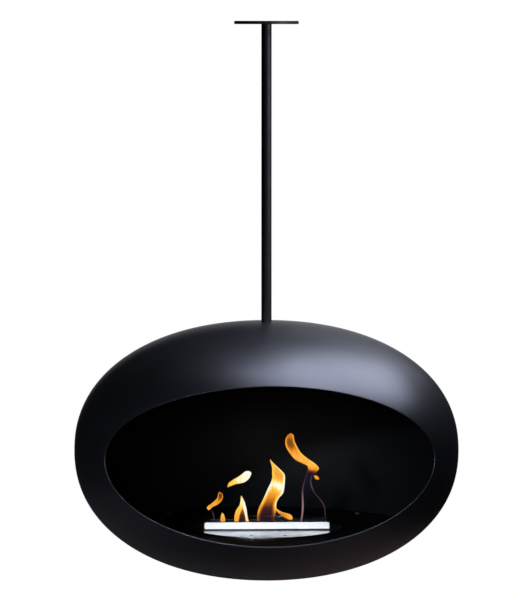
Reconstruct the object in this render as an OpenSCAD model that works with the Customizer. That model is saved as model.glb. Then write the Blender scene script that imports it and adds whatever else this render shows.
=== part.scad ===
// Hanging fireplace: an egg-shaped steel dome that turns on a ceiling pole and holds a lift-out fuel burner.
// Millimetres. The origin is the centre of the ceiling plate's top face, +Z is up, and the mouth faces -Y.

/* [Ceiling plate] */
// Diameter of the ceiling plate
plate_d = 100; // [80:1:160]
// Thickness of the ceiling plate
plate_t = 5; // [4:0.5:8]
// Diameter of the circle of screw holes
plate_hole_circle = 76; // [56:1:80]
// Number of screw holes
plate_holes = 4; // [3:1:6]
// Diameter of a screw hole
plate_hole_d = 5.5; // [4:0.5:7]

/* [Pole] */
// Outer diameter of the pole
pole_d = 16; // [14:0.5:24]
// Wall of the pole's tubes
pole_wall = 2; // [1.5:0.1:2.5]
// Height of the collar under the plate
socket_h = 15; // [12:1:30]
// Length of the upper tube
upper_l = 135; // [80:5:600]
// Length of the middle tube
middle_l = 170; // [80:5:600]
// Length of the lower tube that shows above the dome
lower_l = 142; // [80:1:600]
// Length of a threaded plug in a tube's end
plug_l = 30; // [24:1:38]
// Length of a stud that joins two tubes
stud_l = 50; // [30:1:58]
// Diameter of the studs and of the swivel bolt
stud_d = 10; // [8:0.5:10]
// Diameter of the grub screw in the collar
grub_d = 4; // [3:0.5:5]

/* [Dome] */
// Diameter of the dome
dome_d = 600; // [500:5:760]
// Height of the dome
dome_h = 400; // [360:5:500]
// Fullness of the dome's curve: 2 is an ellipse
dome_n = 2.18; // [2:0.02:2.6]
// Thickness of the dome's sheet
shell_t = 2; // [1.5:0.1:4]
// Width of the shell that is left on each side of the mouth, seen from the front
mouth_side = 49; // [40:1:90]
// Height of the shell that is left above the mouth
mouth_over = 75; // [65:1:110]
// Height of the shell that is left below the mouth
mouth_under = 83; // [76:1:90]

/* [Swivel] */
// Diameter of the hub plate under the crown
hub_d = 90; // [60:1:140]
// Height of the hub plate on the axis
hub_h = 10; // [8:0.5:16]
// Depth of the pole's seat in the hub plate
hub_seat = 2; // [1:0.5:4]
// Outer diameter of the bush
bush_d = 14; // [13:0.5:15]
// Diameter of the bush's flange and of the washer
bush_flange_d = 24; // [20:1:36]
// Thickness of the bush's flange
bush_flange_t = 2; // [1:0.5:4]
// Thickness of the thrust washer
washer_t = 2; // [1:0.5:4]
// Diameter of the swivel bolt's head
bolt_head_d = 22; // [18:1:36]
// Height of the swivel bolt's head
bolt_head_h = 8; // [6:0.5:14]

/* [Floor] */
// Depth of the floor's top face under the mouth's lowest point
lip_drop = 8; // [4:1:14]
// Thickness of the floor
floor_t = 2; // [1.5:0.5:4]
// Distance from the floor's edge to its screws
bracket_inset = 24.5; // [22:0.5:40]
// Number of brackets under the floor
brackets = 4; // [3:1:8]
// Width of a bracket
bracket_w = 28; // [20:1:50]
// Length of a bracket's tab
bracket_l = 24; // [20:1:28]
// Thickness of a bracket
bracket_t = 3; // [2:0.5:5]
// Diameter of the floor's screws
floor_screw_d = 5; // [4:0.5:6]

/* [Burner] */
// Width of the tray's edge that lies on the floor
tray_lap = 8; // [4:0.5:16]
// Thickness of the tray
tray_t = 1.5; // [1:0.1:3]
// Height of the tray's rim above the floor
tray_rim_h = 3; // [2:0.5:8]
// Diameter of the fuel tank
tank_d = 210; // [206:1:230]
// Height of the air space between the tank's lower edge and the shell
tank_clear = 13.5; // [8:0.5:24]
// Thickness of the tank's sheet
tank_t = 1.5; // [1:0.1:3]
// Gap between the tank and the floor all round
tank_gap = 6; // [2:0.5:7]
// Depth of the fibre's top face under the floor's top face
wool_depth = 8; // [8:0.5:12]
// Distance from the tank's outer face to the circle of tray screws
tray_screw_inset = 15; // [10:0.5:18]
// Distance of each tray screw from the middle plane
tray_screw_x = 26; // [15:1:40]
// Diameter of the tray's screws
tray_screw_d = 3; // [3:0.5:4]

/* [Burner head] */
// Width of the burner's head
head_w = 195; // [160:1:200]
// Depth of the burner's head
head_d = 62; // [56:1:72]
// Height of the burner's head
head_h = 12.5; // [12:0.5:30]
// Thickness of the head's sheet
head_t = 1.5; // [1:0.1:2]
// Metal of the tray that shows inside the head all round
tray_ledge = 7; // [6.5:0.5:10]
// Radius of the head's upper edges at its two ends
head_edge_r = 3.5; // [2.5:0.1:5]
// Depth of the flame slot
slot_d = 26; // [16:1:28]
// Metal left at each end of the flame slot
slot_end = 5.5; // [5:0.5:20]
// Distance from the head's front face to the slot
slot_front = 9; // [8:0.5:10]

/* [Shutter] */
// Depth of the shutter
shutter_d = 32; // [30:1:34]
// Thickness of the shutter
shutter_t = 1.5; // [1:0.1:2]
// Part of the shutter that shows in the slot when it is open
shutter_show = 9; // [8:0.5:10]
// Diameter of a hook hole in the shutter
hook_d = 5; // [4:0.5:6]
// Distance between the two hook holes
hook_spacing = 60; // [30:5:120]
// Width of a rail's flange
rail_w = 6; // [5:0.5:8]

/* [Hidden] */
$fn = 96;

fit = 0.05;         // radial clearance of a pin, bush, plug or thread
plug_recess = 0.5;  // depth of a plug's face inside its tube's end
seat_gap = 0.4;     // running gap under the pole's foot, and of loose pieces
crown_gap = 0.5;    // gap round the pole where it enters the dome
floor_gap = 0.8;    // gap between the floor's edge and the shell
slide_gap = 0.3;    // running gap over the shutter
edge_c = 0.4;       // chamfer of turned edges
cut = 1;            // overrun of a cutting tool
shell_steps = 24;   // straight lines in a quarter of the dome's curve
mouth_steps = 100;  // straight lines round the mouth
bend_steps = 5;     // straight lines in a quarter bend

grub_socket_floor = 1.5;    // metal left under the grub screw's hexagon socket
bolt_socket_flats = 9;      // width of the swivel bolt's hexagon socket
bolt_socket_depth = 5;      // depth of the swivel bolt's hexagon socket
tank_bend_r = 6;            // outer radius of the bend round the tank's bottom
slot_corner_r = 4;
shutter_corner_r = 2;
shutter_side_gap = 3.5;     // gap between the shutter's end and the head's outer face
rail_t = 1.2;               // thickness of a rail's sheet
rail_end_gap = 0.5;         // gap between a rail's end and the head's wall

// Mouth, floor and tank, measured from the dome's middle
mouth_w = dome_d - 2 * mouth_side;
mouth_h = dome_h - mouth_over - mouth_under;
mouth_rise = (mouth_under - mouth_over) / 2;
floor_depth = dome_h / 2 - mouth_under + lip_drop;
tank_h = inner_depth(tank_d / 2) - floor_depth - tank_clear;

// Heights of the stack that hangs from the ceiling
z_plate = -plate_t;
z_socket = z_plate - socket_h;
z_upper = z_socket - upper_l;
z_middle = z_upper - middle_l;
z_crown = z_middle - lower_l;
z_dome = z_crown - dome_h / 2;
z_hub_seat = z_crown - shell_t - hub_seat;
z_pole_end = z_hub_seat + seat_gap;
z_hub_bottom = z_crown - shell_t - hub_h;
z_bush = z_hub_bottom - bush_flange_t;
z_washer = z_bush - washer_t;
z_bolt = z_washer - bolt_head_h;

// Heights of the floor and the burner
z_floor = z_dome - floor_depth;
z_tab = z_floor - floor_t;
z_tank = z_floor - tank_h;
z_tray = z_floor + tray_t;
z_head = z_tray + head_h;
z_shutter = z_head - head_t - slide_gap - shutter_t;

pole_r = pole_d / 2;
bore_r = pole_r - pole_wall;
stud_r = stud_d / 2;
floor_r = inner_radius(floor_depth + floor_t) - floor_gap;
floor_hole_r = tank_d / 2 + tank_gap;
bracket_r = floor_r - bracket_inset;
tray_r = floor_hole_r + tray_lap;
tray_screw_r = tank_d / 2 - tray_screw_inset;
tray_screw_y = sqrt(tray_screw_r * tray_screw_r - tray_screw_x * tray_screw_x);
tank_lip_w = tray_screw_inset + 1.5 * tray_screw_d;
slot_w = head_w - 2 * slot_end;
slot_y = -head_d / 2 + slot_front + slot_d / 2;
shutter_w = head_w - 2 * shutter_side_gap;
shutter_y = slot_y + slot_d / 2 - shutter_show + shutter_d / 2;

// Shares of a screw's diameter
nut_h = 0.8;            // height of a nut
nut_flats = 1.7;        // width of a nut across its flats
screw_head_w = 1.9;     // width of a screw's head
screw_crown_w = 1.2;    // width of a head's flat top
button_head_h = 0.55;   // height of a button head
low_head_h = 0.2;       // height of a low head
socket_flats = 0.5;     // width of a hexagon socket across its flats
socket_depth = 0.36;    // depth of a hexagon socket
sink_w = 1.8;           // width of a countersink
spare_l = 0.2;          // length of a screw past its nut

function power(v, p) = v <= 0 ? 0 : pow(v, p);

// Radius of the shell's inner face at a height above or below the dome's middle
function inner_radius(h) =
    (dome_d / 2 - shell_t) * power(1 - power(abs(h) / (dome_h / 2 - shell_t), dome_n), 1 / dome_n);

// Superellipse with half-axes a and b. The whole right half runs from step -shell_steps to shell_steps.
function dome_curve(a, b, first, last) = [for (i = [first:last]) let (t = 90 * i / shell_steps)
    [a * power(cos(t), 2 / dome_n), sign(i) * b * power(abs(sin(t)), 2 / dome_n)]];

// Depth of the shell's inner face under the dome's middle at a distance from the axis
function inner_depth(r) =
    (dome_h / 2 - shell_t) * power(1 - power(r / (dome_d / 2 - shell_t), dome_n), 1 / dome_n);

function reversed(list) = [for (i = [len(list) - 1:-1:0]) list[i]];

// Points on an arc round a centre, from one angle to another
function arc(centre, r, from, to) = [for (i = [0:bend_steps]) let (a = from + (to - from) * i / bend_steps)
    centre + r * [cos(a), sin(a)]];

// Outline of a tube's wall with chamfered outer edges, from height 0 to h
function tube_wall(r_out, r_in, h) = [[r_in, 0], [r_out - edge_c, 0], [r_out, edge_c], [r_out, h - edge_c],
    [r_out - edge_c, h], [r_in, h]];

module tube(r_out, r_in, low, high) {
    translate([0, 0, low]) rotate_extrude() polygon(tube_wall(r_out, r_in, high - low));
}

module rod(r, low, high) {
    translate([0, 0, low]) cylinder(r = r, h = high - low);
}

module washer(r_out, r_in, low, high) {
    difference() {
        rod(r_out, low, high);
        rod(r_in, low - cut, high + cut);
    }
}

// Hexagonal prism, measured across its flats
module hexagon(flats, low, high) {
    translate([0, 0, low]) cylinder(d = flats / cos(30), h = high - low, $fn = 6);
}

// Rectangle with rounded corners
module soft_rect(w, d, r) {
    square([w - 2 * r, d], center = true);
    square([w, d - 2 * r], center = true);
    for (x = [-1, 1], y = [-1, 1]) translate([x * (w / 2 - r), y * (d / 2 - r)]) circle(r = r, $fn = 48);
}

module soft_plate(w, d, r, low, high) {
    translate([0, 0, low]) linear_extrude(height = high - low) soft_rect(w, d, r);
}

// Screw whose round head stands rise above height seat, and whose end is at height end
module socket_screw(d, rise, seat, end) {
    difference() {
        union() {
            translate([0, 0, seat])
                cylinder(d1 = screw_head_w * d, d2 = screw_crown_w * d, h = rise, $fn = 48);
            translate([0, 0, end]) cylinder(d = d, h = seat - end, $fn = 48);
        }
        hexagon(socket_flats * d, seat + rise - socket_depth * d, seat + rise + cut);
    }
}

// Hexagon nut under height top
module nut(d, top) {
    difference() {
        hexagon(nut_flats * d, top - nut_h * d, top);
        translate([0, 0, top - nut_h * d - cut]) cylinder(r = d / 2 + fit, h = nut_h * d + 2 * cut, $fn = 48);
    }
}

module round_places(count, r, first) {
    for (i = [0:count - 1]) rotate([0, 0, first + 360 * i / count]) translate([r, 0, 0]) children();
}

module bracket_places() {
    round_places(brackets, bracket_r, 180 / brackets) children();
}

module tray_screw_places() {
    for (x = [-1, 1], y = [-1, 1]) translate([x * tray_screw_x, y * tray_screw_y, 0]) children();
}

// ---- Hung from the ceiling ----

module ceiling_plate() {
    color([0.09, 0.09, 0.10]) difference() {
        translate([0, 0, z_plate]) rotate_extrude() polygon([[0, 0], [plate_d / 2 - edge_c, 0],
            [plate_d / 2, edge_c], [plate_d / 2, plate_t - edge_c], [plate_d / 2 - edge_c, plate_t], [0, plate_t]]);
        round_places(plate_holes, plate_hole_circle / 2, 180 / plate_holes) {
            translate([0, 0, z_plate - cut]) cylinder(d = plate_hole_d, h = plate_t + 2 * cut, $fn = 48);
            translate([0, 0, z_plate])
                cylinder(d1 = sink_w * plate_hole_d, d2 = plate_hole_d, h = plate_t / 2, $fn = 48);
        }
    }
}

// Collar with a threaded bore and a side hole for its grub screw
module ceiling_socket() {
    color([0.06, 0.06, 0.065]) difference() {
        tube(pole_r, stud_r + fit, z_socket, z_plate);
        translate([0, 0, (z_socket + z_plate) / 2]) rotate([-90, 0, 0])
            cylinder(r = grub_d / 2 + fit, h = pole_d, $fn = 48);
    }
}

module socket_grub_screw() {
    color([0.3, 0.3, 0.32]) translate([0, 0, (z_socket + z_plate) / 2]) rotate([-90, 0, 0]) difference() {
        translate([0, 0, stud_r + fit]) cylinder(d = grub_d, h = pole_r - stud_r - seat_gap, $fn = 48);
        hexagon(socket_flats * grub_d, stud_r + fit + grub_socket_floor, pole_d);
    }
}

module socket_stud() {
    color([0.55, 0.55, 0.56]) rod(stud_r, z_socket - stud_l / 2, z_plate - seat_gap);
}

module pole_upper() {
    color([0.10, 0.10, 0.11]) tube(pole_r, bore_r, z_upper, z_socket);
}

module pole_middle() {
    color([0.10, 0.10, 0.11]) tube(pole_r, bore_r, z_middle, z_upper);
}

module pole_lower() {
    color([0.10, 0.10, 0.11]) tube(pole_r, bore_r, z_pole_end, z_middle);
}

// One plug inside each end of the three tubes
module pole_end_plugs() {
    ends = [[z_socket, -1], [z_upper, 1], [z_upper, -1], [z_middle, 1], [z_middle, -1], [z_pole_end, 1]];
    color([0.5, 0.5, 0.52]) for (end = ends)
        translate([0, 0, end[0]]) mirror([0, 0, end[1] < 0 ? 1 : 0])
            washer(bore_r - fit, stud_r + fit, plug_recess, plug_recess + plug_l);
}

module pole_studs() {
    color([0.55, 0.55, 0.56]) for (z = [z_upper, z_middle]) rod(stud_r, z - stud_l / 2, z + stud_l / 2);
}

// Shoulder bolt with a hexagon socket, which screws up into the pole's foot
module swivel_bolt() {
    color([0.45, 0.45, 0.47]) difference() {
        union() {
            rod(bolt_head_d / 2, z_bolt, z_washer);
            rod(stud_r, z_washer, z_pole_end + stud_l / 2);
        }
        hexagon(bolt_socket_flats, z_bolt - cut, z_bolt + bolt_socket_depth);
    }
}

module thrust_washer() {
    color([0.72, 0.52, 0.25]) washer(bush_flange_d / 2, stud_r + fit, z_washer, z_bush);
}

// ---- Dome ----

module dome_inside() {
    translate([0, 0, z_dome]) rotate_extrude()
        polygon(dome_curve(dome_d / 2 - shell_t, dome_h / 2 - shell_t, -shell_steps, shell_steps));
}

// Spun half of the dome with its share of the mouth
module half_shell(first, last) {
    outer = dome_curve(dome_d / 2, dome_h / 2, first, last);
    inner = dome_curve(dome_d / 2 - shell_t, dome_h / 2 - shell_t, first, last);
    mouth = [for (i = [0:mouth_steps - 1]) let (a = 360 * i / mouth_steps)
        [mouth_w / 2 * cos(a), mouth_h / 2 * sin(a)]];
    difference() {
        translate([0, 0, z_dome]) rotate_extrude() polygon(concat(outer, reversed(inner)));
        translate([0, 0, z_dome + mouth_rise]) rotate([90, 0, 0]) linear_extrude(height = dome_d) polygon(mouth);
    }
}

module upper_shell() {
    color([0.11, 0.11, 0.13]) difference() {
        half_shell(0, shell_steps);
        rod(pole_r + crown_gap, z_dome, z_crown + cut);
    }
}

// Welded edge to edge to the upper half, with the weld ground flush
module lower_shell() {
    color([0.12, 0.12, 0.14]) half_shell(-shell_steps, 0);
}

// Round plate whose top follows the crown from inside
module hub_plate() {
    color([0.2, 0.2, 0.21]) difference() {
        intersection() {
            dome_inside();
            rod(hub_d / 2, z_hub_bottom, z_crown);
        }
        rod(pole_r + crown_gap, z_hub_seat, z_crown + cut);
        rod(bush_d / 2 + fit, z_hub_bottom - cut, z_crown + cut);
    }
}

module hub_bush() {
    color([0.72, 0.52, 0.25]) difference() {
        union() {
            rod(bush_d / 2, z_bush, z_hub_seat);
            rod(bush_flange_d / 2, z_bush, z_hub_bottom);
        }
        rod(stud_r + fit, z_bush - cut, z_hub_seat + cut);
    }
}

module floor_plate() {
    color([0.05, 0.05, 0.055]) difference() {
        rod(floor_r, z_tab, z_floor, $fn = 128);
        rod(floor_hole_r, z_tab - cut, z_floor + cut);
        bracket_places() translate([0, 0, z_tab - cut])
            cylinder(r = floor_screw_d / 2 + seat_gap, h = floor_t + 2 * cut, $fn = 48);
    }
}

// Tab under the floor with a leg that stands on the shell
module floor_brackets() {
    color([0.12, 0.12, 0.13]) intersection() {
        dome_inside();
        bracket_places() difference() {
            union() {
                translate([-bracket_l / 2, -bracket_w / 2, z_tab - bracket_t]) cube([bracket_l, bracket_w, bracket_t]);
                translate([-bracket_l / 2, -bracket_w / 2, z_dome - dome_h / 2])
                    cube([bracket_t, bracket_w, z_tab - z_dome + dome_h / 2]);
            }
            translate([0, 0, z_tab - bracket_t - cut])
                cylinder(r = floor_screw_d / 2 + seat_gap, h = bracket_t + 2 * cut, $fn = 48);
        }
    }
}

module floor_screws() {
    color([0.15, 0.15, 0.16]) bracket_places()
        socket_screw(floor_screw_d, button_head_h * floor_screw_d, z_floor,
            z_tab - bracket_t - (nut_h + spare_l) * floor_screw_d);
}

module floor_nuts() {
    color([0.4, 0.4, 0.42]) bracket_places() nut(floor_screw_d, z_tab - bracket_t);
}

// ---- Burner ----

// Round tray with an upturned rim, and a window under the head
module burner_tray() {
    rim = tray_t / 2;
    outline = concat([[0, 0], [tray_r - edge_c, 0], [tray_r, edge_c]],
        arc([tray_r - rim, tray_rim_h - rim], rim, 0, 180), [[tray_r - tray_t, tray_t], [0, tray_t]]);
    color([0.80, 0.80, 0.82]) difference() {
        translate([0, 0, z_floor]) rotate_extrude($fn = 128) polygon(outline);
        soft_plate(head_w - 2 * tray_ledge, head_d - 2 * tray_ledge, slot_corner_r, z_floor - cut, z_tray + cut);
        tray_screw_places() translate([0, 0, z_floor - cut])
            cylinder(r = tray_screw_d / 2 + fit, h = tray_t + 2 * cut, $fn = 48);
    }
}

// Bar with two rounded upper edges, seen from the front
module head_block(w, d, h, r) {
    translate([-w / 2, -d / 2, z_tray]) cube([w, d, h - r]);
    translate([-w / 2 + r, -d / 2, z_tray]) cube([w - 2 * r, d, h]);
    for (x = [-1, 1]) translate([x * (w / 2 - r), d / 2, z_tray + h - r]) rotate([90, 0, 0])
        cylinder(r = r, h = d, $fn = 48);
}

module burner_head() {
    color([0.86, 0.86, 0.88]) difference() {
        head_block(head_w, head_d, head_h, head_edge_r);
        translate([0, 0, -cut]) head_block(head_w - 2 * head_t, head_d - 2 * head_t, head_h - head_t + cut,
            head_edge_r - head_t);
        translate([0, slot_y, 0]) soft_plate(slot_w, slot_d, slot_corner_r, z_tray, z_head + cut);
    }
}

// Deep round tank with an inward lip under the tray
module fuel_tank() {
    r = tank_d / 2;
    bend = [r - tank_bend_r, tank_bend_r];
    outline = concat([[0, 0]], arc(bend, tank_bend_r, -90, 0),
        [[r, tank_h], [r - tank_lip_w, tank_h], [r - tank_lip_w, tank_h - tank_t], [r - tank_t, tank_h - tank_t]],
        arc(bend, tank_bend_r - tank_t, 0, -90), [[0, tank_t]]);
    color([0.55, 0.55, 0.57]) difference() {
        translate([0, 0, z_tank]) rotate_extrude() polygon(outline);
        tray_screw_places() translate([0, 0, z_floor - 2 * tank_t])
            cylinder(r = tray_screw_d / 2 + fit, h = 3 * tank_t, $fn = 48);
    }
}

module ceramic_wool() {
    r = tank_d / 2 - tank_t - seat_gap;
    h = tank_h - tank_t - wool_depth;
    color([0.93, 0.92, 0.88]) translate([0, 0, z_tank + tank_t]) rotate_extrude()
        polygon(concat([[0, 0]], arc([r - tank_bend_r, tank_bend_r], tank_bend_r, -90, 0), [[r, h], [0, h]]));
}

// Angle rail at each end of the head: a flange under the shutter and a web that stands on the tray
module shutter_rails() {
    length = head_d - 2 * (head_t + rail_end_gap);
    face = head_w / 2 - head_t - fit;
    color([0.6, 0.6, 0.62]) for (side = [0, 1]) mirror([side, 0, 0]) {
        translate([face - rail_w, -length / 2, z_shutter - rail_t]) cube([rail_w, length, rail_t]);
        translate([face - rail_t, -length / 2, z_tray]) cube([rail_t, length, z_shutter - z_tray]);
    }
}

module tray_screws() {
    color([0.25, 0.25, 0.26]) tray_screw_places()
        socket_screw(tray_screw_d, low_head_h * tray_screw_d, z_tray,
            z_floor - tank_t - (nut_h + spare_l) * tray_screw_d);
}

module tank_nuts() {
    color([0.5, 0.5, 0.52]) tray_screw_places() nut(tray_screw_d, z_floor - tank_t);
}

// Sliding plate that closes the flame slot, with two holes for a hook
module flame_shutter() {
    color([0.5, 0.5, 0.53]) difference() {
        translate([0, shutter_y, 0])
            soft_plate(shutter_w, shutter_d, shutter_corner_r, z_shutter, z_shutter + shutter_t);
        for (x = [-1, 1]) translate([x * hook_spacing / 2, shutter_y - shutter_d / 2 + shutter_show / 2,
            z_shutter - cut]) cylinder(d = hook_d, h = shutter_t + 2 * cut, $fn = 48);
    }
}

ceiling_plate();
ceiling_socket();
socket_grub_screw();
socket_stud();
pole_upper();
pole_middle();
pole_lower();
pole_end_plugs();
pole_studs();
swivel_bolt();
thrust_washer();
upper_shell();
lower_shell();
hub_plate();
hub_bush();
floor_plate();
floor_brackets();
floor_screws();
floor_nuts();
burner_tray();
burner_head();
fuel_tank();
ceramic_wool();
shutter_rails();
tray_screws();
tank_nuts();
flame_shutter();
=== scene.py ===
"""Looks of the hanging fireplace: a charcoal dome on a ceiling pole, with a lift-out burner and its flames.

Lengths are metres in the part's own frame: the origin is the centre of the ceiling plate's top face, +Z is up,
and the mouth faces -Y. New surfaces are stacks of closed rings of points, worked out with numpy.
"""

from __future__ import annotations

import logging
import math
from collections.abc import Callable
from dataclasses import dataclass, field
from enum import Enum

import bpy
import numpy as np
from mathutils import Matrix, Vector


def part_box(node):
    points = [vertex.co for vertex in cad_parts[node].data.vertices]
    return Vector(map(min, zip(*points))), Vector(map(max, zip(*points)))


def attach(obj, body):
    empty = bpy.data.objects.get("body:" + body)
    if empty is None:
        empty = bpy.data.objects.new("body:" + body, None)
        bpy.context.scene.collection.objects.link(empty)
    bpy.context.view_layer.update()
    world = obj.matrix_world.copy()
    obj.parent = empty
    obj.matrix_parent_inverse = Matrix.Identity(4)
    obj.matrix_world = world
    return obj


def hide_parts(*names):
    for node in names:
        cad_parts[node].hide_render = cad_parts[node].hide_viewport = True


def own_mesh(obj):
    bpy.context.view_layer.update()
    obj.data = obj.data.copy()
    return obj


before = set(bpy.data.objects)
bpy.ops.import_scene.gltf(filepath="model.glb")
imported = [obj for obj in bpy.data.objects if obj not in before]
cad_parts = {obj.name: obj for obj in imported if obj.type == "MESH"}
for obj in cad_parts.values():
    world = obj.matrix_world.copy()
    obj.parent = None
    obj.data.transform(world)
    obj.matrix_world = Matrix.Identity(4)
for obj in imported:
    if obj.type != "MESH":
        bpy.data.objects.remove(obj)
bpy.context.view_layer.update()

TURN = 2 * math.pi
MILLIMETRE = 0.001
log = logging.getLogger("fireplace")

Colour = tuple[float, float, float]
Place = tuple[float, float, float]
Span = tuple[float, float]

# Points of each round corner of a rectangle's outline, and of each side between them, its ends included.
ARC_POINTS, SIDE_POINTS = 7, 50


class Body(Enum):
    """The bodies that new surfaces ride on."""

    HANGER = "hanger"
    DOME = "dome"
    BURNER = "burner"


class Ends(Enum):
    """How a stack of rings ends: joined last to first, or closed to a point at both ends."""

    JOINED = "joined"
    POINTS = "points"


class Grain(Enum):
    """The fine relief of a surface: of a sprayed or plated coat, or the lines of a lathe or a brush."""

    COAT = "coat"
    TURNED = "turned"
    DRAWN = "drawn"


# ---- Surfaces ----


def soften(corners: np.ndarray, radius: float | np.ndarray, steps: int, closed: bool) -> np.ndarray:
    """Rounds the corners of a profile.

    Each corner P becomes a parabola from a point A at distance radius before it to a point B as far after it:
    Q(t) = (1-t)^2 A + 2t(1-t) P + t^2 B.

    Args:
        corners: The profile's corners, one row each.
        radius: Distance from a corner to the ends of its curve, for all corners or for each.
        steps: Straight lines in each curve.
        closed: Whether the last corner joins the first. An open profile keeps its two end points.

    Returns:
        The points of the rounded profile.
    """
    before, after = np.roll(corners, 1, axis=0) - corners, np.roll(corners, -1, axis=0) - corners
    reach = np.broadcast_to(np.asarray(radius, float), len(corners))[:, None]
    unit_before = before / np.linalg.norm(before, axis=1, keepdims=True)
    unit_after = after / np.linalg.norm(after, axis=1, keepdims=True)
    start, end = corners + unit_before * reach, corners + unit_after * reach
    t = np.linspace(0, 1, steps + 1)[None, :, None]
    curves = (1 - t) ** 2 * start[:, None] + 2 * t * (1 - t) * corners[:, None] + t**2 * end[:, None]
    if closed:
        return curves.reshape(-1, corners.shape[1])
    return np.concatenate([corners[:1], curves[1:-1].reshape(-1, corners.shape[1]), corners[-1:]])


def rounded_outline(width: float, depth: float, radius: float, middle_y: float = 0.0) -> np.ndarray:
    """Outline of a rectangle with round corners, always with the same number of points in the same order.

    The sides' points stand closer together near the corners: their share along a side is (1 - cos(pi s)) / 2.

    Args:
        width: Size along X.
        depth: Size along Y.
        radius: Radius of the corners.
        middle_y: Y of the rectangle's middle.

    Returns:
        Points anticlockwise from the rear end of the right side, as rows of X and Y.
    """
    sign = np.array([[1, 1], [-1, 1], [-1, -1], [1, -1]])
    centre = sign * [width / 2 - radius, depth / 2 - radius]
    angle = np.radians(np.arange(4) * 90)[:, None] + np.linspace(0, math.pi / 2, ARC_POINTS)[None]
    arcs = centre[:, None] + radius * np.stack([np.cos(angle), np.sin(angle)], axis=-1)
    share = ((1 - np.cos(np.linspace(0, math.pi, SIDE_POINTS))) / 2)[1:-1, None]
    sides = arcs[:, -1][:, None] * (1 - share) + np.roll(arcs[:, 0], -1, axis=0)[:, None] * share
    outline = np.concatenate([arcs, sides], axis=1).reshape(-1, 2)
    return outline + [0, middle_y]


def turned(profile: np.ndarray, sides: int, centre: Place = (0, 0, 0)) -> np.ndarray:
    """Rings of a profile turned about a vertical axis: (r cos a, r sin a, z).

    Args:
        profile: Rows of radius and height.
        sides: Points in a ring.
        centre: A point on the axis, from which heights are measured.

    Returns:
        An array of rings, points and coordinates.
    """
    angle = np.arange(sides) * TURN / sides
    r, z = profile[:, 0][:, None], profile[:, 1][:, None]
    rings = np.stack([r * np.cos(angle), r * np.sin(angle), z + np.zeros(sides)], axis=-1)
    return rings + np.asarray(centre)


def stacked(outlines: np.ndarray, heights: np.ndarray) -> np.ndarray:
    """Rings from outlines in plan and a height for each ring or each point."""
    heights = np.broadcast_to(heights if heights.ndim == 2 else heights[:, None], outlines.shape[:2])
    return np.concatenate([outlines, heights[..., None]], axis=-1)


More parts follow.
